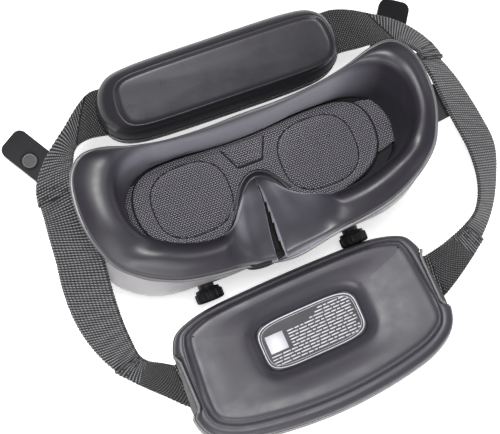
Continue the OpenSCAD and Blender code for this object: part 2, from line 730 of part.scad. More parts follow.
module strap_bars() {
    color("#b9bcc1") at_pod() for (s = [-1, 1])
        along_y(1.2, slot_y - slot_w / 2, slot_y + slot_w / 2, s * 54.8, 19);
}

module power_button() {
    color("#1b1c20") at_pod() {
        along_y(3.5, 31.1, 36.1, button_x, pod_mid_z);
        along_y(4.3, 31.1, 31.9, button_x, pod_mid_z);
    }
}

module level_lights() {
    color("#d8f0d8") at_pod() for (i = [0 : 3])
        along_y(0.9, 32, 35.4, button_x + 8 + i * 4, pod_mid_z);
}

module pod_port() {
    color("#c3c5c9") at_pod() translate([port_x, 31.9, pod_mid_z]) rotate([-90, 0, 0]) difference() {
        linear_extrude(7, center = true) pill(8.9, 3.3);
        translate([0, 0, -4]) linear_extrude(6) pill(8.1, 2.5);
    }
}

module screw(r, head_r, l) {
    difference() {
        union() {
            cylinder(r = r, h = l);
            translate([0, 0, l]) cylinder(r = head_r, h = 1);
        }
        translate([0, 0, l + 0.4]) cylinder(r = head_r * 0.4, h = 2, $fn = 6);
    }
}

module housing_screws() {
    color("#6d6f74") for (p = post_spots) translate([p[0], p[1], lens_plane_z - 8]) screw(1.25, 1.9, 8);
}

module pod_screws() {
    color("#6d6f74") at_pod() for (p = pod_screw_spots)
        translate([p[0], p[1], 5]) rotate([180, 0, 0]) screw(1, 1.9, 3.9);
}

front_visor();
main_housing();
face_plate();
cup_frame();
face_cup();
lens_cover();
barrel(-1);  // barrel_left
barrel(1);  // barrel_right
carriage(-1);  // carriage_left
carriage(1);  // carriage_right
lens_cell(-1);  // lens_cell_left
lens_cell(1);  // lens_cell_right
lens(-1);  // lens_left
lens(1);  // lens_right
display(-1);  // display_left
display(1);  // display_right
guide_rods();
rod_blocks();
knob_shaft(-1);  // knob_shaft_left
knob_shaft(1);  // knob_shaft_right
focus_knob(-1);  // focus_knob_left
focus_knob(1);  // focus_knob_right
main_board();
heat_sink();
fan_frame();
fan_impeller();
front_cameras();
proximity_sensor();
vent_grille();
usb_port();
five_way_button();
back_button();
link_button();
antenna(-1);  // antenna_left
antenna(1);  // antenna_right
antenna_pins();
antenna_cap(-1);  // antenna_caps_left
antenna_cap(1);  // antenna_caps_right
anchor_pins();
strap_clip(-1);  // strap_clip_left
strap_clip(1);  // strap_clip_right
anchor_tab_right();
strap_left();
strap_right();
pad_strap_left();
pad_strap_right();
forehead_shell();
forehead_cushion();
pod_shell();
pod_cover();
pod_pad();
label_plate();
battery_cells();
battery_board();
strap_bars();
power_button();
level_lights();
pod_port();
housing_screws();
pod_screws();
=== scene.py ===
import json
import math
from functools import partial
import bmesh
import bpy
import numpy as np
from mathutils import Matrix, Vector


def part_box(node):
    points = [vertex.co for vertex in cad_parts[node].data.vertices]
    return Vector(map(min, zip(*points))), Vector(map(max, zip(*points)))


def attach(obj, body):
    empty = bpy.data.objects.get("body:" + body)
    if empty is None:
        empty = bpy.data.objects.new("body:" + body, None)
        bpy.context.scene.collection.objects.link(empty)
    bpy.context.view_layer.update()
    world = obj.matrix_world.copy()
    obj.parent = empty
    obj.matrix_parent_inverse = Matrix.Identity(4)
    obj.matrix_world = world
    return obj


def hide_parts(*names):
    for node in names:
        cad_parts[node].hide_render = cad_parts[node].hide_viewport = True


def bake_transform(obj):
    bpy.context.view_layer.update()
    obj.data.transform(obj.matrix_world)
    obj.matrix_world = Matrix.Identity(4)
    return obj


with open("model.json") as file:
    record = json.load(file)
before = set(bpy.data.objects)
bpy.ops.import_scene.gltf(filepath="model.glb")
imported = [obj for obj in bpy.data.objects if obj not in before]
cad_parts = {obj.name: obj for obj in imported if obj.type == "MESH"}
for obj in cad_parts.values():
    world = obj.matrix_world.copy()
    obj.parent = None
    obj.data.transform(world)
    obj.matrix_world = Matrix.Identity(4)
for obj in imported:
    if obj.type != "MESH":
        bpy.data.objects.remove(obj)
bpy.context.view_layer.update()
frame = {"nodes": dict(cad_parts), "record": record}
NODES = frame["nodes"]
MM = 0.001

# ---------------- curves and grids


def curve(p, t, closed):
    """Points of a Catmull-Rom curve through p at the parameters t, counted in control points."""
    p = np.asarray(p, float)
    n = len(p)
    i = np.floor(t).astype(int)
    if not closed:
        i = np.clip(i, 0, n - 2)
    f = (t - i)[:, None]
    if p.ndim == 3:
        f = f[:, :, None]

    def at(k):
        return p[(i + k) % n] if closed else p[np.clip(i + k, 0, n - 1)]

    a, b, c, d = at(-1), at(0), at(1), at(2)
    square = 2 * a - 5 * b + 4 * c - d
    cube = 3 * b - a - 3 * c + d
    return 0.5 * (2 * b + (c - a) * f + square * f ** 2 + cube * f ** 3)


def refine(p, steps, closed):
    n = len(p)
    last = n if closed else n - 1
    t = np.arange(last * steps + (0 if closed else 1)) / steps
    return curve(p, t, closed)


def mirrored(half):
    """Whole closed outline from its right half, clockwise from the top middle."""
    half = np.asarray(half, float)
    left = half[-2:0:-1].copy()
    left[:, 0] *= -1
    return np.vstack([half, left])


def lifted(ring, z):
    return np.column_stack([ring[:, 0], ring[:, 1], np.full(len(ring), float(z))])


def grown(ring, d):
    """Moves an outline outwards by d, or inwards where d is negative; d may be one number per point."""
    t = np.roll(ring, -1, 0) - np.roll(ring, 1, 0)
    length = np.hypot(t[:, 0], t[:, 1])
    d = np.asarray(d, float) * np.ones(len(ring))
    out = ring.copy()
    out[:, 0] -= t[:, 1] / length * d
    out[:, 1] += t[:, 0] / length * d
    return out


def shifted(ring, x=0.0, y=0.0, z=0.0):
    return ring + np.stack(np.broadcast_arrays(x, y, z, ring[:, 0])[:3], axis=1)


def mixed(a, b, t):
    return a * (1 - t) + b * t


def smooth(lo, hi, x):
    t = np.clip((np.asarray(x, float) - lo) / (hi - lo), 0, 1)
    return t * t * (3 - 2 * t)


def bump(x, centre, width):
    return np.exp(-((np.asarray(x, float) - centre) / width) ** 2)


def full_turn(sides):
    """Angles of a closed round outline."""
    return np.linspace(0, 2 * math.pi, sides, endpoint=False)


def add_mesh(name, verts, faces, material, uvs=None):
    """A smooth-shaded mesh object from millimetre vertices."""
    data = bpy.data.meshes.new(name)
    data.from_pydata((np.asarray(verts, float) * MM).tolist(), [], faces)
    data.polygons.foreach_set("use_smooth", [True] * len(data.polygons))
    if uvs is not None:
        layer = data.uv_layers.new(name="weave")
        loops = np.empty(len(data.loops), int)
        data.loops.foreach_get("vertex_index", loops)
        layer.data.foreach_set("uv", np.asarray(uvs, float)[loops].ravel())
    data.validate()
    obj = bpy.data.objects.new(name, data)
    bpy.context.collection.objects.link(obj)
    data.materials.append(material)
    return obj


def grid_faces(rows, cols, close_rows, close_cols, base=0):
    faces = []
    for j in range(rows if close_rows else rows - 1):
        for i in range(cols if close_cols else cols - 1):
            i2 = (i + 1) % cols
            j2 = (j + 1) % rows
            near, far = base + j * cols, base + j2 * cols
            faces.append((near + i, near + i2, far + i2, far + i))
    return faces


def lofted(name, rings, material, closed=False, steps=4, caps=True, flip=False):
    """Surface through a list of equal outlines, smooth along the list; a repeated outline makes a crease."""
    grid = refine(np.array(rings), steps, closed) if steps > 1 else np.array(rings)
    rows, cols = grid.shape[:2]
    verts = grid.reshape(-1, 3)
    faces = grid_faces(rows, cols, closed, True)
    if caps and not closed:
        verts, faces = with_caps(verts, faces, rows, cols)
    if not flip:
        faces = [f[::-1] for f in faces]
    return add_mesh(name, verts, faces, material)


def with_caps(verts, faces, rows, cols):
    """Closes both ends of a loft with fans."""
    verts = list(verts)
    for row, turn in ((0, True), (rows - 1, False)):
        ring = verts[row * cols:(row + 1) * cols]
        centre = len(verts)
        verts.append(np.mean(ring, axis=0))
        for i in range(cols):
            a, b = row * cols + i, row * cols + (i + 1) % cols
            faces.append((b, a, centre) if turn else (a, b, centre))
    return np.array(verts), faces


def tube_mesh(path, radius, sides=12, closed=False):
    """Round bead along a path, its radius one number or one per point."""
    path = np.asarray(path, float)
    n = len(path)
    radius = np.ones(n) * radius
    if closed:
        tangent = np.roll(path, -1, 0) - np.roll(path, 1, 0)
    else:
        tangent = np.gradient(path, axis=0)
    tangent /= np.linalg.norm(tangent, axis=1)[:, None]
    side = np.cross(tangent, np.array([0.0, 0.0, 1.0]))
    side /= np.maximum(np.linalg.norm(side, axis=1), 1e-9)[:, None]
    top = np.cross(side, tangent)
    a = full_turn(sides)
    around = np.cos(a)[None, :, None] * side[:, None] + np.sin(a)[None, :, None] * top[:, None]
    verts = (path[:, None] + radius[:, None, None] * around).reshape(-1, 3)
    faces = grid_faces(n, sides, closed, True)
    if not closed:
        verts, faces = with_caps(verts, faces, n, sides)
    return verts, faces


def tube(name, path, radius, material, sides=12, closed=False):
    return add_mesh(name, *tube_mesh(path, radius, sides, closed), material)


def joined(name, pieces, material):
    """One object from several closed meshes, each given as vertices and faces."""
    verts, faces, base = [], [], 0
    for v, f in pieces:
        verts.append(np.asarray(v, float))
        faces += [tuple(k + base for k in face) for face in f]
        base += len(v)
    obj = add_mesh(name, np.vstack(verts), faces, material)
    fix_normals(obj)
    return obj


def fix_normals(obj):
    """Turns every face of a closed mesh outwards."""
    mesh = bmesh.new()
    mesh.from_mesh(obj.data)
    bmesh.ops.recalc_face_normals(mesh, faces=mesh.faces)
    mesh.to_mesh(obj.data)
    mesh.free()


# ---------------- materials


def new_material(name):
    mat = bpy.data.materials.new(name)
    mat.use_nodes = True
    tree = mat.node_tree
    return mat, tree, tree.nodes["Principled BSDF"]


def set_sockets(target, **sockets):
    """Sets a node's inputs by name, with _ for each space."""
    for key, value in sockets.items():
        target.inputs[key.replace("_", " ")].default_value = value


def node(tree, kind, **sockets):
    made = tree.nodes.new(kind)
    set_sockets(made, **sockets)
    return made


def math_node(tree, op, a, b=None):
    made = tree.nodes.new("ShaderNodeMath")
    made.operation = op
    for slot, value in enumerate((a, b)):
        if value is None:
            continue
        if isinstance(value, (int, float)):
            made.inputs[slot].default_value = value
        else:
            tree.links.new(value, made.inputs[slot])
    return made.outputs[0]


def ramp(tree, fac, stops):
    made = tree.nodes.new("ShaderNodeValToRGB")
    elements = made.color_ramp.elements
    while len(elements) < len(stops):
        elements.new(0.5)
    for element, (pos, colour) in zip(elements, stops):
        element.position = pos
        element.color = (*colour, 1)
    tree.links.new(fac, made.inputs["Fac"])
    return made.outputs["Color"]


def object_coords(tree):
    return tree.nodes.new("ShaderNodeTexCoord").outputs["Object"]


def split_axes(tree, vector):
    made = tree.nodes.new("ShaderNodeSeparateXYZ")
    tree.links.new(vector, made.inputs[0])
    return made.outputs


def noise(tree, coords, scale, detail=4.0, rough=0.55):
    made = node(tree, "ShaderNodeTexNoise", Scale=scale, Detail=detail, Roughness=rough)
    tree.links.new(coords, made.inputs["Vector"])
    return made.outputs["Fac"]


def bumped(tree, bsdf, heights):
    """Chains bump nodes: each entry is (height output, strength, distance in metres)."""
    normal = None
    for height, strength, distance in heights:
        made = node(tree, "ShaderNodeBump", Strength=strength, Distance=distance)
        tree.links.new(height, made.inputs["Height"])
        if normal is not None:
            tree.links.new(normal, made.inputs["Normal"])
        normal = made.outputs["Normal"]
    tree.links.new(normal, bsdf.inputs["Normal"])


def scaled_colour(colour, k):
    return tuple(min(1.0, c * k) for c in colour)


def moulded(name, colour, rough, grain=0.03, mottle=0.12, coat=0.0, shine=0.5):
    """Moulded plastic or rubber: fine spark texture, soft mottling, worn roughness."""
    mat, tree, bsdf = new_material(name)
    coords = object_coords(tree)
    broad = noise(tree, coords, 28.0, 5.0)
    fine = noise(tree, coords, 1600.0, 3.0)
    tree.links.new(ramp(tree, broad, [(0.3, scaled_colour(colour, 1 - mottle)),
                                      (0.7, scaled_colour(colour, 1 + mottle))]), bsdf.inputs["Base Color"])
    rough_map = node(tree, "ShaderNodeMapRange", From_Min=0.3, From_Max=0.7,
                     To_Min=max(rough - 0.05, 0.02), To_Max=min(rough + 0.07, 1.0))
    tree.links.new(noise(tree, coords, 90.0, 6.0, 0.65), rough_map.inputs["Value"])
    tree.links.new(rough_map.outputs["Result"], bsdf.inputs["Roughness"])
    set_sockets(bsdf, Specular_IOR_Level=shine, Coat_Weight=coat, Coat_Roughness=0.12)
    bumped(tree, bsdf, [(fine, grain * 6, 0.00012)])
    return mat


def paint_sheen(material):
    """Paints a sheen onto the cup's brow and nose slopes, masked by position: a painted highlight for the
    light these slopes catch at a glance.
    """
    tree = material.node_tree
    bsdf = tree.nodes["Principled BSDF"]
    calc = partial(math_node, tree)
    axes = split_axes(tree, object_coords(tree))
    from_middle = calc("ABSOLUTE", axes["X"])
    masks = []
    for source, start, stop in ((axes["Y"], 0.008, 0.020), (from_middle, 0.066, 0.042),
                                (axes["Y"], 0.0, -0.008), (from_middle, 0.027, 0.012)):
        fade = node(tree, "ShaderNodeMapRange", From_Min=start, From_Max=stop, To_Min=0.0, To_Max=1.0)
        tree.links.new(source, fade.inputs["Value"])
        masks.append(fade.outputs["Result"])
    brow = calc("MULTIPLY", masks[0], masks[1])
    nose = calc("MULTIPLY", masks[2], masks[3])
    # Painted highlight: the brow and nose masks together set the sheen weight.
    painted_sheen = calc("MULTIPLY", calc("ADD", brow, nose), 0.75)
    tree.links.new(painted_sheen, bsdf.inputs["Sheen Weight"])
    set_sockets(bsdf, Sheen_Roughness=0.6, Sheen_Tint=(0.9, 0.87, 1.0, 1.0))


def brushed(name, colour, rough):
    """Machined or drawn metal with fine lines along X."""
    mat, tree, bsdf = new_material(name)
    stretch = node(tree, "ShaderNodeMapping", Scale=(60.0, 2600.0, 2600.0))
    tree.links.new(object_coords(tree), stretch.inputs["Vector"])
    lines = noise(tree, stretch.outputs["Vector"], 1.0, 3.0)
    tone = ramp(tree, lines, [(0.3, scaled_colour(colour, 0.85)), (0.7, colour)])
    tree.links.new(tone, bsdf.inputs["Base Color"])
    set_sockets(bsdf, Metallic=1.0, Roughness=rough)
    bumped(tree, bsdf, [(lines, 0.15, 0.00004)])
    return mat


def knit(name, dark, light, pitch):
    """Warp-knit cloth: rows of short stitches that slant one way and the other."""
    mat, tree, bsdf = new_material(name)
    coords = object_coords(tree)
    axes = split_axes(tree, coords)
    calc = partial(math_node, tree)
    sway = calc("MULTIPLY", calc("SUBTRACT", noise(tree, coords, 120.0, 2.0), 0.5), 0.0009)
    along = calc("DIVIDE", calc("ADD", axes["X"], sway), pitch)
    across = calc("DIVIDE", calc("ADD", axes["Y"], sway), pitch * 0.7)
    row = calc("FLOOR", across)
    turn = calc("SINE", calc("MULTIPLY", calc("ADD", row, 0.5), math.pi))
    slant = calc("MULTIPLY", calc("SUBTRACT", across, row), calc("MULTIPLY", turn, 0.9))
    phase = calc("ADD", along, calc("ADD", slant, calc("MULTIPLY", row, 0.5)))
    stitch = calc("SINE", calc("MULTIPLY", phase, 2 * math.pi))
    ridge = calc("ABSOLUTE", calc("SINE", calc("MULTIPLY", across, math.pi)))
    half = calc("MULTIPLY", calc("ADD", stitch, 1.0), 0.5)
    loops = calc("MULTIPLY", half, calc("POWER", ridge, 0.6))
    yarn = noise(tree, coords, 2400.0, 2.0, 0.7)
    tone = calc("ADD", calc("MULTIPLY", loops, 0.8), calc("MULTIPLY", yarn, 0.25))
    tree.links.new(ramp(tree, tone, [(0.28, dark), (0.8, light)]), bsdf.inputs["Base Color"])
    set_sockets(bsdf, Roughness=0.9, Sheen_Weight=0.2, Sheen_Roughness=0.5)
    bumped(tree, bsdf, [(loops, 1.0, 0.0005), (yarn, 0.5, 0.0001)])
    return mat


def webbing(name, dark, light, pitch, column, lean, break_depth):
    """Elastic webbing: ribs a pitch apart, broken by break_depth (0 to 1) between columns, each column
    set on by lean radians. UV in millimetres."""
    mat, tree, bsdf = new_material(name)
    uv = tree.nodes.new("ShaderNodeUVMap")
    uv.uv_map = "weave"
    axes = split_axes(tree, uv.outputs["UV"])
    coords = object_coords(tree)
    calc = partial(math_node, tree)
    drift = calc("MULTIPLY", noise(tree, coords, 220.0, 2.0), 1.1)
    along = calc("MULTIPLY", axes["X"], 2 * math.pi / pitch)
    within = calc("ABSOLUTE", calc("SINE", calc("MULTIPLY", axes["Y"], math.pi / column)))
    step = calc("FLOOR", calc("DIVIDE", axes["Y"], column))
    stagger = calc("ADD", calc("MULTIPLY", step, lean), drift)
    ribs = calc("SINE", calc("ADD", along, stagger))
    floats = calc("ADD", calc("MULTIPLY", within, break_depth), 1 - break_depth)
    height = calc("MULTIPLY", calc("MULTIPLY", calc("ADD", ribs, 1.0), 0.5), floats)
    yarn = noise(tree, coords, 2600.0, 2.0, 0.7)
    # The colour follows the rib height: the lighter rib tops are a painted highlight and the darker gaps
    # between ribs painted shade, with random yarn tone on top.
    tone = calc("ADD", calc("MULTIPLY", height, 0.62), calc("MULTIPLY", yarn, 0.45))
    tree.links.new(ramp(tree, tone, [(0.46, dark), (0.84, light)]), bsdf.inputs["Base Color"])
    set_sockets(bsdf, Roughness=0.75, Sheen_Weight=0.15, Sheen_Roughness=0.45)
    bumped(tree, bsdf, [(height, 1.0, 0.0006), (yarn, 0.5, 0.0001)])
    return mat


def glass(name, colour):
    mat, _, bsdf = new_material(name)
    set_sockets(bsdf, Base_Color=(*colour, 1), Roughness=0.03, Transmission_Weight=0.85, IOR=1.5,
                Coat_Weight=0.5, Coat_Tint=(0.7, 0.75, 1.0, 1))
    return mat


RUBBER = moulded("satin_rubber", (0.021, 0.019, 0.026), 0.4, grain=0.02, mottle=0.05)
# The rubber carries a painted sheen on its brow and nose slopes.
paint_sheen(RUBBER)
PAD = moulded("soft_touch_pad", (0.032, 0.030, 0.037), 0.3, grain=0.02, mottle=0.05, shine=0.3)
POD_PAD = moulded("matt_pod_pad", (0.042, 0.039, 0.050), 0.42, grain=0.02, mottle=0.05)
KNIT = knit("heather_knit", (0.003, 0.003, 0.004), (0.42, 0.40, 0.47), 0.00142)
# Near-black for seams, parting lines and gaps, and also painted shade: the nose slit, the line between the
# nose beads, the panel trench, the webbing crease and hem lines, and the line round the lens cover's edge.
SEAM_AND_SHADE = moulded("dark_seam_and_painted_shade", (0.004, 0.004, 0.005), 0.8, mottle=0.2)
WEB = webbing("ribbed_webbing", (0.005, 0.005, 0.006), (0.34, 0.34, 0.36), 1.25, 1.9, 0.8, 0.6)
WEB_CROSS = webbing("cross_woven_webbing", (0.004, 0.004, 0.005), (0.24, 0.24, 0.25), 1.15, 1.1, 3.1, 1.0)
THREAD = moulded("sewing_thread", (0.022, 0.022, 0.025), 0.6, mottle=0.2)
SHELL_GRAY = moulded("shell_gray", (0.36, 0.345, 0.36), 0.42, mottle=0.03)
FRAME_GRAY = moulded("frame_gray", (0.17, 0.165, 0.172), 0.38, mottle=0.03)
BLACK = moulded("black_matte", (0.012, 0.012, 0.014), 0.4, grain=0.05, mottle=0.15, shine=0.12)
DARK = moulded("dark_gray", (0.022, 0.022, 0.025), 0.45, grain=0.05, mottle=0.1)
GLOSS = moulded("black_gloss", (0.008, 0.008, 0.010), 0.09, grain=0.0, mottle=0.1, coat=0.6)
LABEL = moulded("label_film", (0.05, 0.049, 0.056), 0.5, grain=0.01, mottle=0.04, shine=0.3)
INK = moulded("label_ink", (0.74, 0.73, 0.78), 0.5, grain=0.01, mottle=0.05)
LENS = glass("lens_glass", (0.9, 0.94, 0.97))
STEEL = brushed("plain_steel", (0.62, 0.62, 0.64), 0.28)
SINK = brushed("anodised_aluminium", (0.68, 0.69, 0.71), 0.38)
BOARD = moulded("board_green", (0.02, 0.11, 0.05), 0.4, mottle=0.25)
CELL = moulded("cell_wrap", (0.03, 0.12, 0.32), 0.3, mottle=0.1, coat=0.3)
PIPE = moulded("light_pipe", (0.55, 0.7, 0.55), 0.35, mottle=0.05)

SLOT_MATERIALS = {
    "soft_rubber": RUBBER, "pad_rubber": PAD, "knit": KNIT, "webbing": WEB, "shell_gray": SHELL_GRAY,
    "frame_gray": FRAME_GRAY, "black_matte": BLACK, "dark_gray": DARK, "black_gloss": GLOSS, "label": LABEL,
    "lens_glass": LENS, "display_glass": GLOSS, "steel": STEEL, "sink_metal": SINK, "board_green": BOARD,
    "cell_wrap": CELL, "light_pipe": PIPE,
}

# ---------------- the CAD nodes that stay


def soft_edges_group():
    """Node group that welds a solid's facets and smooths all but its real edges."""
    group = bpy.data.node_groups.new("weld_and_smooth", "GeometryNodeTree")
    group.interface.new_socket("Geometry", in_out="INPUT", socket_type="NodeSocketGeometry")
    group.interface.new_socket("Geometry", in_out="OUTPUT", socket_type="NodeSocketGeometry")
    start = group.nodes.new("NodeGroupInput")
    end = group.nodes.new("NodeGroupOutput")
    weld = group.nodes.new("GeometryNodeMergeByDistance")
    weld.inputs["Distance"].default_value = 0.000004
    faces = group.nodes.new("GeometryNodeSetShadeSmooth")
    faces.domain = "FACE"
    edges = group.nodes.new("GeometryNodeSetShadeSmooth")
    edges.domain = "EDGE"
    edges.inputs["Shade Smooth"].default_value = False
    angle = group.nodes.new("GeometryNodeInputMeshEdgeAngle")
    sharp = group.nodes.new("FunctionNodeCompare")
    sharp.operation = "GREATER_THAN"
    sharp.inputs[1].default_value = math.radians(32)
    link = group.links.new
    link(start.outputs[0], weld.inputs["Geometry"])
    link(weld.outputs["Geometry"], faces.inputs["Geometry"])
    link(faces.outputs["Geometry"], edges.inputs["Geometry"])
    link(angle.outputs["Unsigned Angle"], sharp.inputs[0])
    link(sharp.outputs["Result"], edges.inputs["Selection"])
    link(edges.outputs["Geometry"], end.inputs[0])
    return group


def dress_cad():
    group = soft_edges_group()
    slots = {s["node"]: s["material_slot"] for s in frame["record"]["subparts"]}
    for name, obj in NODES.items():
        material = SLOT_MATERIALS[slots[name]]
        obj.data.materials.clear()
        obj.data.materials.append(material)
        obj.modifiers.new("smooth", "NODES").node_group = group


dress_cad()

# ---------------- outlines, in millimetres

BASE = mirrored([[0, 25.6], [18, 26.2], [36, 27.2], [51, 28], [62, 28], [70, 25.8], [75.5, 18.8],
                 [77.5, 8], [77.5, -3], [75.5, -13], [71, -21.5], [62, -29], [49, -33.6], [36, -35.6],
                 [25, -36.2], [17, -36.2], [10.5, -36.2], [5, -36.2], [0, -36.2]])
RIM = mirrored([[0, 23, 88], [18, 22.6, 89], [36, 23, 92.5], [51, 25, 97], [63, 27.8, 101],
                [72.5, 27.6, 102], [79, 21.4, 101], [81.6, 11, 100], [81.6, -2, 98], [78.8, -13, 95],
                [74, -22, 92], [64, -30, 89.5], [51, -36, 87.5], [37, -38.8, 86], [25, -40, 85],
                [17, -41.2, 84], [10.5, -42.3, 83], [5, -43.2, 82.5], [0, -43.6, 82.3]])
EYE = mirrored([[0, 20.5, 45], [14, 21, 45], [28, 22.3, 45], [40, 22.4, 45], [50, 21.6, 45],
                [59, 18, 45], [64.5, 11.5, 45], [66.6, 3, 45], [65.6, -6, 45], [61.5, -12.5, 45],
                [54, -17.5, 45], [44.5, -20.9, 45], [33, -23, 45], [23.5, -22.3, 46], [16.5, -17.6, 47],
                [11.2, -11, 48.5], [7.2, -5.4, 50], [3.6, -2.1, 51], [0, -1, 51.5]])
COVER = mirrored([[0, 18.8], [14, 19.3], [28, 20.3], [40, 20.4], [49, 19.3], [55.5, 15.8], [59, 10],
                  [60.2, 3], [59.2, -4.5], [56, -10.5], [50.4, -15.3], [42.6, -18.7], [33, -21.1],
                  [23.7, -20.7], [17.2, -16.2], [12, -9.8], [7.8, -4.3], [4, -0.9], [0, 0.4]])
POD = mirrored([[0, 36], [20, 35.8], [38, 35.2], [50, 33.6], [60, 30], [64.3, 24],
                [66, 17], [67, 7], [67.8, -4], [67.2, -14], [62.5, -22], [52, -28],
                [38, -31.4], [20, -33.8], [0, -34.8]])
BROW = mirrored([[0, 17.4], [20, 17.4], [38, 17], [49, 15.2], [55.5, 10], [58.3, 2], [57.8, -6],
                 [53.5, -12.5], [45, -16], [30, -17.2], [0, -17.4]])
PANEL = mirrored([[0, 11.8], [17.5, 11.8], [35, 11.6], [45.3, 10.7], [49.7, 7.4], [51.1, 1.2], [50.9, -4.4],
                  [48.2, -9.3], [41.3, -11.3], [27, -11.8], [0, -11.8]])

# Points per control point round an outline, and near the nose, which is control point 18.
FINE = 6
NOSE_FINE = 16
NOSE = 18

# How far the eye opening and the lens cover sit to the right of the middle at their ends.
EYE_SKEW = 4.4
COVER_SKEW = 2.3

# Levels of the cup's foot and of the flange on it.
CUP_FOOT = 58.5
FLANGE_TOP = 60.3
FLANGE_BELOW_RIM = 5.6


def ring(control, z=None):
    """Smooth outline of the cup, with more points near the nose than elsewhere."""
    counts = [NOSE_FINE if abs(i + 0.5 - NOSE) < 2 else FINE for i in range(len(control))]
    t = np.concatenate([i + np.arange(n) / n for i, n in enumerate(counts)])
    return curve(control if z is None else lifted(control, z), t, True)


base = ring(BASE, CUP_FOOT)
rim = ring(RIM)
eye = ring(EYE)
eye[:, 0] += EYE_SKEW * smooth(22, 58, np.abs(eye[:, 0]))

# ---------------- rubber face cup


# The cup's wall from rim to eye opening: the share of the way across, the share of the fall reached there at
# the sides, nose and brow, and how far the rim is domed, the wall thickened and the lower lobes raised.
ACROSS = (0.04, 0.11, 0.28, 0.46, 0.63, 0.78, 0.89, 0.96, 1.0)
DROP_SIDE = (0.0, 0.0, 0.0, 0.0, 0.008, 0.03, 0.085, 0.25, 0.62)
DROP_NOSE = (0.0, 0.03, 0.17, 0.37, 0.57, 0.74, 0.86, 0.94, 0.98)
DROP_BROW = (0.0, 0.01, 0.04, 0.09, 0.16, 0.27, 0.43, 0.63, 0.84)
DOME = (-2.1, -1.4, -0.4, 0.0, 0.0, 0.0, 0.0, 0.0, 0.0)
THICK = (0.0, 0.1, 0.35, 0.6, 0.8, 0.92, 1.0, 0.9, 0.5)
LOBE = (0.0, 0.4, 1.5, 2.2, 2.1, 1.3, 0.4, 0.0, 0.0)
BROW_THICKNESS = 2.2
# Rows of the finished grid for each outline, and the rows that the nose slit runs between.
ROWS = 5
SHOULDER_ROW = 3 * ROWS
EYE_ROW = (4 + len(ACROSS)) * ROWS
SLIT_LEAN = -5.6
SLIT_DEPTH = 7.5
FLAP_HEIGHT = 2.2
FLAP_MIDDLE = 6.5
FLAP_WIDTH = 6.0


def face_cup():
    """Broad rolled rim over steep side walls, a sloping brow, and two puffy flaps over the nose."""
    x, y = rim[:, 0], rim[:, 1]
    nose = smooth(33, 8, np.abs(x)) * (y < 0)
    brow = smooth(77, 48, np.abs(x)) * smooth(4, 14, y)
    lobe = smooth(-16, -29, y) * smooth(12, 26, np.abs(x))
    outer = lifted(grown(base, -1.9), 60.5)
    edge = shifted(grown(rim, -0.9), z=-FLANGE_BELOW_RIM)
    shoulder = shifted(grown(rim, -0.1), z=-4.2)
    rings = [outer, mixed(outer, edge, 0.5), edge, shoulder]
    stations = zip(ACROSS, DROP_SIDE, DROP_NOSE, DROP_BROW, DOME, THICK, LOBE)
    for f, side_drop, nose_drop, brow_drop, dome, thick, rise in stations:
        drop = side_drop + (nose_drop - side_drop) * nose + (brow_drop - side_drop) * brow
        level = mixed(rim, eye, f)
        level[:, 2] = rim[:, 2] - (rim[:, 2] - eye[:, 2]) * drop + dome + rise * lobe
        rings.append(grown(level, -BROW_THICKNESS * thick * brow))
    skirt = lifted(grown(eye, 2.2), 43.2)
    back = lifted(grown(base, -6.2), 60.2)
    rings += [eye, mixed(eye, skirt, 0.6), skirt, mixed(skirt, back, 0.85), back]
    grid = refine(np.array(rings), ROWS, True)
    slit = carve_nose(grid)
    rows, cols = grid.shape[:2]
    faces = [f[::-1] for f in grid_faces(rows, cols, True, True)]
    obj = add_mesh("face_cup_soft", grid.reshape(-1, 3), faces, RUBBER)
    # Faces deep in the nose slit take the near-black material: painted shade in the slit.
    obj.data.materials.append(SEAM_AND_SHADE)
    slit = slit.ravel()
    obj.data.polygons.foreach_set("material_index", [int(slit[list(f)].mean() > 0.6) for f in faces])
    return obj


def carve_nose(grid):
    """Presses the slit between the two flaps into the nose slope and swells the flaps beside it.
    Gives how far each point lies in the slit, from 0 to 1."""
    x, y = grid[:, :, 0], grid[:, :, 1]
    inside = np.zeros_like(x)
    inside[SHOULDER_ROW:EYE_ROW + 1] = 1.0
    width = 0.55 + 1.35 * smooth(-6, -40, y)
    slit = np.exp(-(x / width) ** 6) * inside * smooth(-2.5, -6.5, y)
    puff = bump(np.abs(x), FLAP_MIDDLE, FLAP_WIDTH) * FLAP_HEIGHT * inside
    puff = puff * smooth(-3, -15, y) * smooth(-43, -27, y)
    grid[:, :, 2] += puff - SLIT_DEPTH * slit
    grid[:, :, 0] += SLIT_LEAN * smooth(-2, -43, y) * smooth(22, 5, np.abs(x)) * inside
    return slit


cup = face_cup()
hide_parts("face_cup")
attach(cup, "goggles")

# ---------------- gray frame round the rubber


def cup_frame():
    """Thin gray flange that shows as a light line outside the rubber rim."""
    seat = lifted(grown(base, 0.3), CUP_FOOT)
    lip = shifted(grown(rim, 0.9), z=-FLANGE_BELOW_RIM)
    inner_top = shifted(grown(rim, -0.4), z=-FLANGE_BELOW_RIM)
    inner_mid = shifted(mixed(lifted(grown(base, -1.4), CUP_FOOT), inner_top, 0.5), z=0.6)
    inner_low = lifted(grown(base, -1.6), FLANGE_TOP)
    sill = lifted(grown(base, -5), FLANGE_TOP)
    sole = lifted(grown(base, -5), CUP_FOOT)
    rings = [seat, seat, mixed(seat, lip, 0.5), lip, lip, inner_top, inner_top, inner_mid, inner_low,
             sill, sill, sole, sole]
    return lofted("cup_frame_shell", rings, FRAME_GRAY, closed=True, steps=3)


frame_shell = cup_frame()
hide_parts("cup_frame")
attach(frame_shell, "goggles")

# ---------------- nose bead and tongue


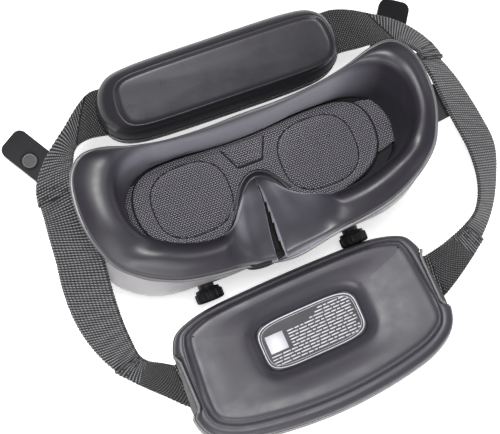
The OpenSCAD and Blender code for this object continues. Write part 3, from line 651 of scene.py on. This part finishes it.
def nose_beads():
    """Two beads with a dark line between, painted shade in the valley between them, along the arch where the
    nose slope meets the lens cover.
    """
    path = refine(EYE[NOSE - 5:NOSE + 6], 8, False)
    n = len(path)
    fade = smooth(0, 1, np.minimum(np.arange(n), n - 1 - np.arange(n)) / (0.22 * n))
    away = np.column_stack([-np.gradient(path[:, 1]), np.gradient(path[:, 0])])
    away /= np.linalg.norm(away, axis=1)[:, None]
    made = []
    # The dark line between the two rubber beads is painted shade.
    beads = (("inner", 0.2, 1.3, 1.0, RUBBER), ("line", 1.35, 1.5, 0.5, SEAM_AND_SHADE),
             ("outer", 2.6, 2.5, 0.85, RUBBER))
    for word, offset, height, radius, material in beads:
        line = path.copy()
        line[:, :2] -= away * offset
        line[:, 2] += height * fade - 1.0 * (1 - fade)
        made.append(tube(f"nose_bead_{word}", line, radius * (0.3 + 0.7 * fade), material, sides=14))
    return made


for piece in nose_beads():
    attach(piece, "goggles")


TONGUE_AT = (-12.5, -40.3)
TONGUE_HALF = (9.5, 3.2)


def tongue():
    """Small lip of rubber that shows below the rim under the nose."""
    a = full_turn(48)
    rings = []
    for z, k in ((68, 0.3), (70, 0.85), (74, 1.0), (78, 0.92), (80, 0.6), (80.5, 0.2)):
        x = TONGUE_AT[0] + TONGUE_HALF[0] * k * np.cos(a)
        y = TONGUE_AT[1] + TONGUE_HALF[1] * k * np.sin(a)
        rings.append(lifted(np.column_stack([x, y]), z))
    return lofted("nose_tongue", rings, BLACK, steps=4)


lip_piece = tongue()
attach(lip_piece, "goggles")

# ---------------- knitted lens cover

LENS_X, LENS_Y = 32.1, 0.4
LENS_SKEW = 1.0
# Half width, half height and squareness of the sewn ovals over the lenses.
OVAL_W, OVAL_H, OVAL_POWER = 18.8, 16.9, 2.6
# The raised panel between the ovals: its lower and upper edge, and its middle.
PANEL_LOW, PANEL_HIGH = 7.2, 16.8
PANEL_X = 0.7
COVER_TOP = 50.4
COVER_FOOT = 44.4
# Level of the painted shade line round the cover's edge.
SHADE_LEVEL = 48.4
# How far each cloth tab reaches from the middle.
TAB_REACH = ((-1, 61.3), (1, 71.0))


def cover_height(x, y):
    """Top of the cover: soft crown, sewn ovals over the lenses and a raised panel between them."""
    h = COVER_TOP - 0.00045 * x * x
    for s in (-1, 1):
        dx, dy = (x - s * LENS_X - LENS_SKEW) / OVAL_W, (y - LENS_Y) / OVAL_H
        r = (np.abs(dx) ** OVAL_POWER + np.abs(dy) ** OVAL_POWER) ** (1 / OVAL_POWER)
        h = h - 1.3 * np.exp(-((r - 1) / 0.035) ** 2) + 0.9 * smooth(1.0, 0.7, r)
    half = 5.6 + (y - PANEL_LOW) * 0.45
    off = np.abs(x - PANEL_X) - half
    inside = smooth(0.9, -0.4, off) * smooth(PANEL_LOW - 0.6, PANEL_LOW + 0.8, y) * smooth(18, PANEL_HIGH, y)
    trench = bump(off, 0.6, 0.9) * smooth(PANEL_LOW - 1.4, PANEL_LOW - 0.2, y) * smooth(18.4, PANEL_HIGH, y)
    trench = np.maximum(trench, bump(y, PANEL_LOW - 0.6, 0.9) * (off < 0.8))
    return h + 2.0 * inside - 1.7 * trench


def inside_outline(points, outline):
    """True for each point within the closed outline."""
    x, y = points[:, 0], points[:, 1]
    result = np.zeros(len(points), bool)
    n = len(outline)
    for i in range(n):
        ax, ay = outline[i]
        bx, by = outline[(i + 1) % n]
        crosses = ((ay > y) != (by > y)) & (x < (bx - ax) * (y - ay) / (by - ay + 1e-12) + ax)
        result ^= crosses
    return result


def slab(name, outline, step, top, bottom, material):
    """Closed pad over a dense square grid cut to an outline; top and bottom are functions of x and y."""
    lo, hi = outline.min(0), outline.max(0)
    xs = np.arange(lo[0] - step, hi[0] + step, step)
    ys = np.arange(lo[1] - step, hi[1] + step, step)
    gx, gy = np.meshgrid(xs, ys)
    points = np.column_stack([gx.ravel(), gy.ravel()])
    keep = inside_outline(points, outline)
    cols = len(xs)
    cells = []
    for j in range(len(ys) - 1):
        for i in range(cols - 1):
            k = j * cols + i
            corners = (k, k + 1, k + cols + 1, k + cols)
            if keep[list(corners)].all():
                cells.append(corners)
    used = sorted({k for c in cells for k in c})
    index = {k: i for i, k in enumerate(used)}
    cells = [tuple(index[k] for k in c) for c in cells]
    flat = points[used]
    edges = {}
    for c in cells:
        for a, b in zip(c, c[1:] + c[:1]):
            edges[(a, b)] = edges.get((a, b), 0) + 1
    border = [(a, b) for a, b in edges if (b, a) not in edges]
    fine = refine(np.column_stack([outline, np.zeros(len(outline))]), 4, True)[:, :2]
    for a, _ in border:
        flat[a] = fine[np.argmin(((fine - flat[a]) ** 2).sum(1))]
    n = len(flat)
    upper = np.column_stack([flat, top(flat[:, 0], flat[:, 1])])
    lower = np.column_stack([flat, bottom(flat[:, 0], flat[:, 1])])
    faces = cells + [tuple(n + k for k in c[::-1]) for c in cells]
    faces += [(b, a, n + a, n + b) for a, b in border]
    return add_mesh(name, np.vstack([upper, lower]), faces, material)


def lens_cover():
    outline = grown(refine(COVER, FINE, True), -1.0)
    outline[:, 0] += COVER_SKEW * smooth(22, 56, np.abs(outline[:, 0]))
    pad = slab("lens_cover_knit", outline, 0.55, cover_height, lambda x, y: COVER_FOOT + 0 * x, KNIT)
    edge = lifted(outline, 0)
    edge[:, 2] = cover_height(edge[:, 0], edge[:, 1]) - 0.6
    piping = tube("lens_cover_piping", edge, 1.25, KNIT, sides=10, closed=True)
    parts = [pad, piping]
    for s, word in ((-1, "left"), (1, "right")):
        a = full_turn(120)
        x, y = (np.sign(wave) * np.abs(wave) ** (2 / OVAL_POWER) for wave in (np.cos(a), np.sin(a)))
        x = s * LENS_X + LENS_SKEW + OVAL_W * x
        y = LENS_Y + OVAL_H * y
        seam_line = np.column_stack([x, y, cover_height(x, y) + 0.05])
        parts.append(tube(f"cover_seam_{word}", seam_line, 0.4, SEAM_AND_SHADE, sides=8, closed=True))
    # Near-black tube along the panel's trench: painted shade in the trench.
    t = np.linspace(0, 3, 61)
    x = np.interp(t, range(4), [PANEL_X - 10.6, PANEL_X - 6.2, PANEL_X + 6.2, PANEL_X + 10.6])
    y = np.interp(t, range(4), [PANEL_HIGH, PANEL_LOW - 0.6, PANEL_LOW - 0.6, PANEL_HIGH])
    trench = np.column_stack([x, y, cover_height(x, y) + 0.1])
    parts.append(tube("cover_panel_trench_shade", trench, 0.75, SEAM_AND_SHADE, sides=8))
    # Near-black tube just outside the cover's edge: painted shade in the gap between the cover and the cup.
    shade = lifted(grown(outline, 1.2), SHADE_LEVEL)
    parts.append(tube("lens_cover_shade", shade, 0.75, SEAM_AND_SHADE, sides=8, closed=True))
    for s, reach in TAB_REACH:
        parts.append(cover_tab(s, reach))
    return parts


def cover_tab(side, reach):
    """Folded cloth tab that tucks under the side wall."""
    steps, wide = 9, 17
    t = np.linspace(-1, 1, wide)
    start = 55.5 + side * COVER_SKEW
    rows = []
    for k in np.linspace(0, 1, steps):
        x = start + (reach - start) * k
        y = 3.6 + t * (13.4 - 3.2 * k * k)
        z = 47.3 + 0.6 * k - 0.5 * t * t + 0.35 * np.sin(t * 5 + k * 2)
        rows.append(np.column_stack([side * np.full(wide, x), y, z]))
    top = np.array(rows)
    under = top - np.array([0, 0, 1.2])
    loop = np.concatenate([top, under[:, ::-1]], axis=1)
    cols = 2 * wide
    verts, faces = with_caps(loop.reshape(-1, 3), grid_faces(steps, cols, False, True), steps, cols)
    if side < 0:
        faces = [f[::-1] for f in faces]
    return add_mesh(f"cover_tab_{'left' if side < 0 else 'right'}", verts, faces, KNIT)


cover_parts = lens_cover()
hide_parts("lens_cover")
for piece in cover_parts:
    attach(piece, "lens_cover")

# ---------------- webbing

STRAP_LEFT = [[[-98, 17, 46], [-79, 13, 57]], [[-99, 8, 44], [-79.5, -3, 57]],
              [[-100, -3, 41], [-79.5, -13, 54]], [[-102, -17, 36], [-81, -28, 48]],
              [[-102, -32, 30], [-81.5, -40, 41]], [[-99, -46, 24.5], [-81, -50, 34]],
              [[-93, -59, 20], [-80, -57, 27]], [[-84, -70, 18.6], [-77, -61, 23]],
              [[-75, -80, 18.8], [-71.5, -64, 20]], [[-66, -88.8, 19], [-66.5, -67.2, 19]],
              [[-60, -88.6, 19], [-60.5, -67, 19]]]
STRAP_RIGHT = [[[109, 17, 43.5], [94, 17, 61]], [[112, 8, 42], [95, 6, 61]],
               [[116, -10, 39], [97, -9, 58]], [[118, -25, 35], [100, -26, 53]],
               [[113.5, -40, 31], [99.5, -41, 48]], [[107, -53, 27], [95, -52, 43]],
               [[98, -64, 22.5], [89, -57, 34]], [[88.5, -72.5, 19.4], [81.5, -60, 24.5]],
               [[79, -79.5, 19], [75.5, -61.5, 20]], [[70.5, -84.2, 19], [70, -62.6, 19]],
               [[64.5, -84.4, 19], [64, -62.8, 19]]]
PAD_STRAP_LEFT = [[[-51.5, 63, 57], [-55, 41, 57]], [[-58.5, 63, 57.6], [-64, 42.5, 58]],
                  [[-66.5, 58.5, 57], [-70, 42, 58.5]], [[-75, 51.5, 56], [-74, 39.5, 60]],
                  [[-84.5, 44.5, 54], [-76, 36, 61]], [[-91.5, 38, 51], [-77.5, 32.5, 62]],
                  [[-96.5, 31, 48.5], [-79, 28, 61]], [[-98.5, 22.5, 46.5], [-80, 21, 59.5]]]
PAD_STRAP_RIGHT = [[[56, 61, 57], [52, 39.5, 57]], [[63, 60.5, 57.6], [60, 39.5, 58]],
                   [[71, 57.5, 58], [68, 38.5, 58.5]], [[79, 53, 57], [77, 37.5, 60]],
                   [[89, 47, 54.5], [84, 35, 62.5]], [[98, 40, 50.5], [89, 30, 64]],
                   [[105, 31, 47], [92.5, 26, 63.5]], [[108.5, 22.5, 44.5], [93.5, 22, 62]]]
RIB = 1.6
RIB_HEIGHT = 0.16
SERRATION = 0.2
# Width that the weave is drawn for, and the rise from one layer of webbing to the next.
WEB_WIDTH = 25.0
LAYER = 1.75


def band_frame(route, step):
    """Stations along a band: distance, edge points, unit vectors across, widths and upward normals."""
    dense = refine(np.asarray(route, float), 40, False)
    run = np.concatenate([[0], np.cumsum(np.linalg.norm(np.diff(dense.mean(1), axis=0), axis=1))])
    s = np.linspace(0, run[-1], int(run[-1] / step))
    edges = [np.column_stack([np.interp(s, run, dense[:, e, k]) for k in range(3)]) for e in (0, 1)]
    across = edges[1] - edges[0]
    width = np.linalg.norm(across, axis=1)
    across /= width[:, None]
    normal = np.cross(np.gradient((edges[0] + edges[1]) / 2, axis=0), across)
    normal /= np.linalg.norm(normal, axis=1)[:, None]
    if normal[:, 2].mean() < 0:
        normal = -normal
    return s, edges[0], across, width, normal


def band(name, route, thick=1.5, crossed=(2.0, 2.0, 0.0), width_steps=26):
    """Webbing along pairs of edges, with raised ribs and serrated selvedges. crossed is the stretch that
    shows the cross-woven side: its start and end as fractions of the length, and how far they lean."""
    s, edge, across, width, normal = band_frame(route, RIB / 5)
    count = len(s)
    t = np.linspace(0, 1, width_steps)
    phase = 2 * math.pi * s / RIB
    rib = 0.5 + 0.5 * np.sin(phase)
    lo, hi, lean = crossed
    at = s[:, None] / s[-1] - lean * (t[None, :] - 0.5)
    woven = ((at >= lo) & (at <= hi)).astype(int)
    shade = woven[:, width_steps // 2]
    serrate = (SERRATION * np.sin(phase) * (1 - shade))[:, None]
    bulge = (1 - (2 * t - 1) ** 8)[None, :]
    height = (0.1 + RIB_HEIGHT * rib * (1 - shade))[:, None] * bulge
    along = t[None, :] * (width[:, None] + 2 * serrate) - serrate
    middle = edge[:, None] + across[:, None] * along[:, :, None]
    top = middle + normal[:, None] * (thick / 2 + height)[:, :, None]
    under = middle - normal[:, None] * (thick / 2 + height)[:, :, None]
    loop = np.concatenate([top, under[:, ::-1]], axis=1)
    cols = loop.shape[1]
    verts, faces = with_caps(loop.reshape(-1, 3), grid_faces(count, cols, False, True), count, cols)
    uv_u = np.repeat(s[:, None], cols, 1)
    uv_v = np.repeat(np.concatenate([t, t[::-1]])[None] * WEB_WIDTH, count, 0)
    uvs = np.vstack([np.column_stack([uv_u.ravel(), uv_v.ravel()]), [[0, 0], [s[-1], 0]]])
    obj = add_mesh(name, verts, faces, WEB, uvs)
    obj.data.materials.append(WEB_CROSS)
    marks = np.concatenate([woven, woven[:, ::-1]], axis=1)[:-1].ravel().tolist()
    marks += [0] * (len(obj.data.polygons) - len(marks))
    obj.data.polygons.foreach_set("material_index", marks)
    fix_normals(obj)
    return obj


def stitches(route, at, lift):
    """Row of sewing stitches across a band at a fraction of its length."""
    s, edge, across, width, normal = band_frame(route, 0.5)
    i = int(at * (len(s) - 1))
    pieces = []
    for start in np.arange(1.2, width[i] - 2.4, 2.3):
        path = [edge[i] + across[i] * (start + d) + normal[i] * lift for d in (0, 0.5, 1.1, 1.6)]
        pieces.append(tube_mesh(path, np.array([0.12, 0.34, 0.34, 0.12]), sides=8))
    return pieces


def sewn(name, route, rows, lift):
    """Several rows of stitches as one piece."""
    return joined(name, [stitch for at in rows for stitch in stitches(route, at, lift)], THREAD)


def crease_shade_line(route, at, lift, lean=0.0):
    """Dark line across a band, painted shade in a crease, at a fraction of its length in the middle."""
    s, edge, across, width, normal = band_frame(route, 0.5)
    path = []
    for t in np.linspace(0.015, 0.985, 14):
        i = int(np.clip(at + lean * (t - 0.5), 0, 1) * (len(s) - 1))
        path.append(edge[i] + across[i] * width[i] * t + normal[i] * lift)
    return tube_mesh(path, 0.38, sides=8)


def raised_route(route, lift):
    """Route of a second layer, lifted along the band's normal at each station."""
    route = np.asarray(route, float)
    run = np.gradient(route.mean(1), axis=0)
    normal = np.cross(run, route[:, 1] - route[:, 0])
    normal /= np.linalg.norm(normal, axis=1)[:, None]
    if normal[:, 2].mean() < 0:
        normal = -normal
    return route + normal[:, None] * lift


def headband_webbing():
    """Lower straps, pad straps lapped over them at the temples, and the folded ends at the pod's slots."""
    for word, lower, upper, crease_at, lean in (("left", STRAP_LEFT, PAD_STRAP_LEFT, 0.28, 0.17),
                                                ("right", STRAP_RIGHT, PAD_STRAP_RIGHT, 0.5, 0.17)):
        lap = raised_route(upper[-3:], -LAYER)[1:]
        lower_band = band(f"webbing_{word}", np.concatenate([lap, np.asarray(lower, float)]))
        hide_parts(f"strap_{word}")
        upper_band = band(f"pad_webbing_{word}", upper, crossed=(-1.0, crease_at, lean))
        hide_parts(f"pad_strap_{word}")
        fold_route = raised_route(lower[-5:-1], LAYER)
        fold = band(f"webbing_fold_{word}", fold_route, crossed=(0.3, 2.0, 0.0))
        sewing = sewn(f"pod_sewing_{word}", fold_route, (0.05, 0.14), 1.05)
        temple = sewn(f"temple_sewing_{word}", upper, (0.945, 0.89), 1.2)
        # Dark lines at the temple hem and at the crease: painted shade.
        hem = joined(f"temple_hem_shade_{word}", [crease_shade_line(upper, 0.985, 1.0)], SEAM_AND_SHADE)
        crease = joined(f"pad_webbing_crease_shade_{word}", [crease_shade_line(upper, crease_at, 0.75, lean)], SEAM_AND_SHADE)
        for piece in (lower_band, fold, sewing):
            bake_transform(piece)
        for piece in (upper_band, temple, hem, crease):
            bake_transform(piece)


headband_webbing()

# ---------------- forehead pad

# Where the forehead pad and the pod lie in the row frame, and how far each is turned.
BROW_AT = (0.2, 48.4)
BROW_YAW = math.radians(-1.5)
POD_AT = (1.5, -82.0)
POD_YAW = math.radians(2)


def placed(rings, at, yaw):
    """Turns and moves outlines from a piece's own frame to the row frame."""
    c, s = math.cos(yaw), math.sin(yaw)
    out = []
    for r in rings:
        x, y = r[:, 0] * c - r[:, 1] * s + at[0], r[:, 0] * s + r[:, 1] * c + at[1]
        out.append(np.column_stack([x, y, r[:, 2]]))
    return out


def brow_level(d, up, z):
    return shifted(lifted(grown(refine(lifted(BROW, 0), FINE, True), -d), z), y=up)


def forehead_pad():
    """Moulded cushion with a crisp ridge round a large, shallow sunk panel."""
    panel = refine(lifted(PANEL, 76.0), FINE, True) + [2.3, -1.5, 0]
    ridge = lifted(grown(panel, 0.9), 76.1)
    wall = ((1.5, 0, 56.9), (0.4, 0, 57.2), (0, 0.1, 59), (0.3, 0.2, 64), (0.8, 0.3, 68), (1.4, 0.4, 70.5))
    rings = [brow_level(*level) for level in wall]
    side = rings[-1]
    rings += [lifted(mixed(side, ridge, k), z) for k, z in ((0.3, 73.4), (0.6, 74.9), (0.85, 75.8))]
    rings.append(ridge)
    rings += [lifted(grown(panel, d), z) for d, z in ((0.3, 76.0), (-0.4, 75.4), (-1.1, 75.1), (-2.6, 75.0))]
    floor_ring = rings[-1]
    centre = floor_ring.mean(0)
    for k, z in ((0.7, 74.9), (0.4, 74.8), (0.12, 74.75)):
        inner = centre + (floor_ring - centre) * [k, k, 0]
        inner[:, 2] = z
        rings.append(inner)
    return lofted("forehead_pad", placed(rings, BROW_AT, BROW_YAW), PAD, steps=3)


brow = forehead_pad()
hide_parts("forehead_cushion")
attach(brow, "forehead")
for word, inset, level in (("upper", 0.05, 61.5), ("lower", 0.9, 57.6)):
    path = placed([brow_level(inset, 0.2, level)], BROW_AT, BROW_YAW)[0]
    line = tube(f"forehead_parting_{word}", path, 0.3, SEAM_AND_SHADE, sides=8, closed=True)
    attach(line, "forehead")

# ---------------- battery pod's pad


# Middle and half length of the strap slots at the pod's ends, and how far out the pod reaches there.
SLOT_Y = 5.5
SLOT_HALF = 15.0
SLOT_X = 63.2


def pod_level(d, z, notch=0.0):
    """The pod's outline drawn in by d, less so at the side towards the goggles. Its ends are cut back at the
    strap slots by notch, from 0 to 1."""
    out = lifted(grown(refine(lifted(POD, 0), FINE, True), -d), z)
    out[:, 1] += 0.55 * max(d, 0) * smooth(6, 30, out[:, 1])
    if notch:
        near = smooth(SLOT_HALF + 0.5, SLOT_HALF - 2.5, np.abs(out[:, 1] - SLOT_Y))
        limit = SLOT_X - d * 0.4
        over = np.maximum(np.abs(out[:, 0]) - limit, 0) * near * notch
        out[:, 0] -= np.sign(out[:, 0]) * over
    return out


LABEL_Y = 5.6
WELL_POWER = 4.6
FIELD_INSET = 13.6


def well_ring(w, h, z, power=WELL_POWER):
    """Squared oval round the label, with one point in the direction of each point of the pod's outline."""
    outline = pod_level(FIELD_INSET, z)
    dx, dy = outline[:, 0], outline[:, 1] - LABEL_Y
    k = (np.abs(2 * dx / w) ** power + np.abs(2 * dy / h) ** power) ** (-1 / power)
    return np.column_stack([dx * k, dy * k + LABEL_Y, np.full(len(k), float(z))])


def pod_pad():
    """Soft pad: border band, soft valley, a field that sinks gently inwards, and a well for the label."""
    border = ((3.0, 21.9), (0.9, 22.0, 1), (0.2, 22.8, 1), (0.0, 24.5, 1), (0.4, 26.3, 1), (1.4, 27.7, 1),
              (3.0, 28.5, 0.8), (4.6, 28.6, 0.5), (5.7, 28.4, 0.2), (6.5, 28.9), (7.1, 30.3), (7.8, 32.1),
              (8.8, 33.4), (10.2, 34.0), (FIELD_INSET, 33.8))
    well = ((67, 39, 31.9, 3), (61, 33.2, 31.0, 3.6), (57, 29.4, 29.6, 4), (54.8, 27.2, 27.9, 4.4),
            (53.4, 25.8, 26.2), (52, 24.4, 25.2), (34, 16, 24.9), (14, 7, 24.9), (4, 2, 24.9))
    rings = [pod_level(*level) for level in border]
    for k, z in ((0.3, 33.4), (0.65, 32.7)):
        rings.append(lifted(mixed(pod_level(FIELD_INSET, 0), well_ring(67, 39, 0, 3), k), z))
    rings += [well_ring(*level) for level in well]
    return lofted("pod_pad_soft", placed(rings, POD_AT, POD_YAW), POD_PAD, steps=3)


pad = pod_pad()
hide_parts("pod_pad")
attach(pad, "headband")

# ---------------- label print and the pod's trim

LABEL_TOP = 25.95
LABEL_SIZE = (49.8, 22.2)
# Printed bars: where each row starts from the left, from the top row down, and the lengths they repeat.
ROW_STARTS = (7.0, 5.0, 1.5, -11.0, -11.0, -11.0, -11.0, -11.0, -11.0, -22.8, -22.8, -22.6, -22.0)
ROW_TOP = 9.0
ROW_PITCH = 1.5
BAR_LENGTHS = (2.6, 4.1, 1.7, 3.3, 5.2)
BAR_HALF = 0.3
BAR_GAP = 0.55


def flat_bar(x0, x1, y0, y1, thick=0.12, bevel=0.08):
    """Thin printed bar with bevelled long edges, in the label's own frame."""
    section = [(y0, 0.0), (y0 + bevel, thick), (y1 - bevel, thick), (y1, 0.0)]
    verts = [(x, y, h) for x in (x0, x1) for y, h in section]
    return verts, [(0, 1, 5, 4), (1, 2, 6, 5), (2, 3, 7, 6), (3, 0, 4, 7), (3, 2, 1, 0), (4, 5, 6, 7)]


def label_print():
    """Plain bars in rows and a blank block: no lettering."""
    bars = []
    for k, x in enumerate(ROW_STARTS):
        y = ROW_TOP - ROW_PITCH * k
        stop = 23.0 if 0 < k < len(ROW_STARTS) - 1 else 21.0
        turn = k
        while x < stop - 0.8:
            length = BAR_LENGTHS[turn % len(BAR_LENGTHS)]
            bars.append(flat_bar(x, min(x + length, stop), y - BAR_HALF, y + BAR_HALF))
            x += length + BAR_GAP
            turn += 2
    bars.append(flat_bar(-22.4, -13.2, -3.0, 5.8))
    pieces = [(np.asarray(v, float) + [0, LABEL_Y, LABEL_TOP], f) for v, f in bars] + label_outline()
    pieces = [(placed([np.asarray(v, float)], POD_AT, POD_YAW)[0], f) for v, f in pieces]
    return joined("label_print", pieces, INK)


def label_outline():
    """Double outline round the label."""
    a = full_turn(160)
    made = []
    for inset, z, radius in ((-0.5, 25.75, 0.3), (0.55, LABEL_TOP, 0.1)):
        half_w, half_h = LABEL_SIZE[0] / 2 - inset, LABEL_SIZE[1] / 2 - inset
        k = (np.abs(np.cos(a)) ** WELL_POWER + np.abs(np.sin(a)) ** WELL_POWER) ** (-1 / WELL_POWER)
        path = np.column_stack([half_w * k * np.cos(a), half_h * k * np.sin(a) + LABEL_Y, np.full(160, z)])
        made.append(tube_mesh(path, radius, sides=8, closed=True))
    return made


def pod_swell(z, out):
    """The pod's outline at a level, let out towards the front only."""
    outline = pod_level(0.0, z, 1)
    wider = pod_level(-out, z, 1)
    weight = smooth(4, -20, outline[:, 1])[:, None]
    return outline + (wider - outline) * weight


def pod_trim():
    """Lips at the strap slots, coloured light gray as a painted highlight along their edges, and the parting
    lines round the hard shell.
    """
    made = []
    for s, word in ((-1, "left"), (1, "right")):
        y = np.linspace(SLOT_Y - SLOT_HALF, SLOT_Y + SLOT_HALF, 31)
        bend = smooth(0, 4, SLOT_HALF - np.abs(y - SLOT_Y))
        # A real lip at the slot's edge, coloured light gray as a painted highlight.
        path = np.column_stack([s * (65.6 - 1.6 * bend), y, 26.6 - 0.3 * bend])
        made.append(tube(f"slot_lip_highlight_{word}", placed([path], POD_AT, POD_YAW)[0], 0.75, FRAME_GRAY, sides=12))
    for word, z, radius, material in (("upper", 21.9, 0.42, SEAM_AND_SHADE), ("light", 20.9, 0.5, SHELL_GRAY),
                                      ("middle", 19.9, 0.4, SEAM_AND_SHADE), ("lower", 17.4, 0.42, SEAM_AND_SHADE)):
        path = placed([pod_swell(z, 0.25 * (21.9 - z))], POD_AT, POD_YAW)[0]
        made.append(tube(f"pod_parting_{word}", path, radius, material, sides=8, closed=True))
    hem = ((19.3, 0.0), (19.3, 0.9), (17.5, 1.6), (13.0, 1.9), (9.0, 1.5), (6.5, 0.4), (6.5, -0.6))
    skirt = [pod_swell(z, out) for z, out in hem]
    made.append(lofted("pod_skirt", placed(skirt, POD_AT, POD_YAW), FRAME_GRAY, closed=True, steps=3))
    return made


printing = label_print()
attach(printing, "headband")
for piece in pod_trim():
    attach(piece, "headband")

# ---------------- knobs


KNOB_X, KNOB_Z = 38.0, 22.0
KNOB_RIBS = 14


def knob(side):
    """Ribbed focus knob: a slim neck, a notched grip and a dished front."""
    profile = [(3.2, -38.8), (5.6, -38.8), (6.0, -39.1), (6.0, -39.9), (6.3, -40.2), (6.9, -40.5),
               (7.0, -41.2), (7.0, -43.8), (6.8, -44.5), (6.2, -44.95), (5.4, -45.0), (5.0, -44.7),
               (2.5, -44.5), (0.3, -44.5)]
    n = 12 * KNOB_RIBS
    a = full_turn(n)
    ribs = 0.5 - 0.5 * np.cos(a * KNOB_RIBS)
    rings = []
    for radius, y in profile:
        depth = 0.75 * smooth(6.2, 6.8, radius)
        r = radius - depth * smooth(0.45, 0.7, ribs)
        rings.append(np.column_stack([side * KNOB_X + r * np.cos(a), np.full(n, y), KNOB_Z + r * np.sin(a)]))
    obj = lofted(f"knob_{'left' if side < 0 else 'right'}", rings, BLACK, steps=2)
    fix_normals(obj)
    return obj


for side, word in ((-1, "left"), (1, "right")):
    piece = knob(side)
    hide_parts(f"focus_knob_{word}")
    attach(piece, f"dial_{word}")

# ---------------- rings round the antenna hinge caps


def cap_rings(side):
    """Dark gap and bright inner edge round a hinge cap, flat on the antenna's root."""
    low, high = (np.array(corner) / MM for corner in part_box(f"antenna_caps_{side}"))
    x, y = (low[:2] + high[:2]) / 2
    radius = (high[0] - low[0]) / 2
    a = full_turn(72)
    made = []
    for word, outset, thick, material in (("gap", 0.15, 0.4, SEAM_AND_SHADE), ("edge", -0.7, 0.25, FRAME_GRAY)):
        r = radius + outset
        path = lifted(np.column_stack([x + r * np.cos(a), y + r * np.sin(a)]), high[2])
        made.append(tube(f"antenna_cap_{word}_{side}", path, thick, material, sides=10, closed=True))
    return made


for word in ("left", "right"):
    for piece in cap_rings(word):
        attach(piece, f"antenna_{word}")

# ---------------- camera, light, floor

CAMERA_AT = Vector((-78.584, -84.708, 623.989)) * MM
CAMERA_RIGHT = Vector((0.926634371, -0.369566441, 0.069061853))
CAMERA_UP = Vector((0.356370538, 0.921923459, 0.15184626))
CAMERA_BACK = Vector((-0.119787008, -0.116094336, 0.985988438))
CAMERA_LENS = 89.65902
FLOOR_HALF = 3000
FLOOR_LEVEL = -0.4


def set_camera():
    data = bpy.data.cameras.new("camera")
    data.lens = CAMERA_LENS
    data.clip_start = 0.01
    data.clip_end = 20
    obj = bpy.data.objects.new("camera", data)
    obj.matrix_world = Matrix((CAMERA_RIGHT, CAMERA_UP, CAMERA_BACK)).transposed().to_4x4()
    obj.matrix_world.translation = CAMERA_AT
    bpy.context.collection.objects.link(obj)
    bpy.context.scene.camera = obj


def area_light(name, at, look, size, power):
    data = bpy.data.lights.new(name, "AREA")
    data.shape = "RECTANGLE"
    data.size, data.size_y = size
    data.energy = power
    obj = bpy.data.objects.new(name, data)
    obj.location = at
    obj.rotation_euler = (Vector(look) - Vector(at)).to_track_quat("-Z", "Y").to_euler()
    bpy.context.collection.objects.link(obj)


def set_stage():
    mat, tree, bsdf = new_material("pale_floor")
    tone = ramp(tree, noise(tree, object_coords(tree), 3.0), [(0.3, (0.93,) * 3), (0.7, (0.95,) * 3)])
    tree.links.new(tone, bsdf.inputs["Base Color"])
    set_sockets(bsdf, Roughness=0.8, Emission_Color=(1, 1, 1, 1), Emission_Strength=0.6)
    corners = [(x * FLOOR_HALF, y * FLOOR_HALF, FLOOR_LEVEL) for x, y in ((-1, -1), (1, -1), (1, 1), (-1, 1))]
    floor = add_mesh("floor", corners, [(0, 1, 2, 3)], mat)
    world = bpy.data.worlds.new("studio")
    world.use_nodes = True
    set_sockets(world.node_tree.nodes["Background"], Color=(1, 1, 1, 1), Strength=0.18)
    bpy.context.scene.world = world
    area_light("key", (-0.07, 0.02, 0.95), (0, 0, 0.05), (0.24, 0.24), 7.5)
    area_light("front", (-0.45, -1.0, 0.7), (0, -0.03, 0.05), (0.6, 0.4), 9)
    area_light("fill", (0.9, 0.1, 0.6), (0, 0, 0.05), (0.5, 0.5), 1.5)
    bpy.context.scene.view_settings.view_transform = "Standard"


set_camera()
set_stage()
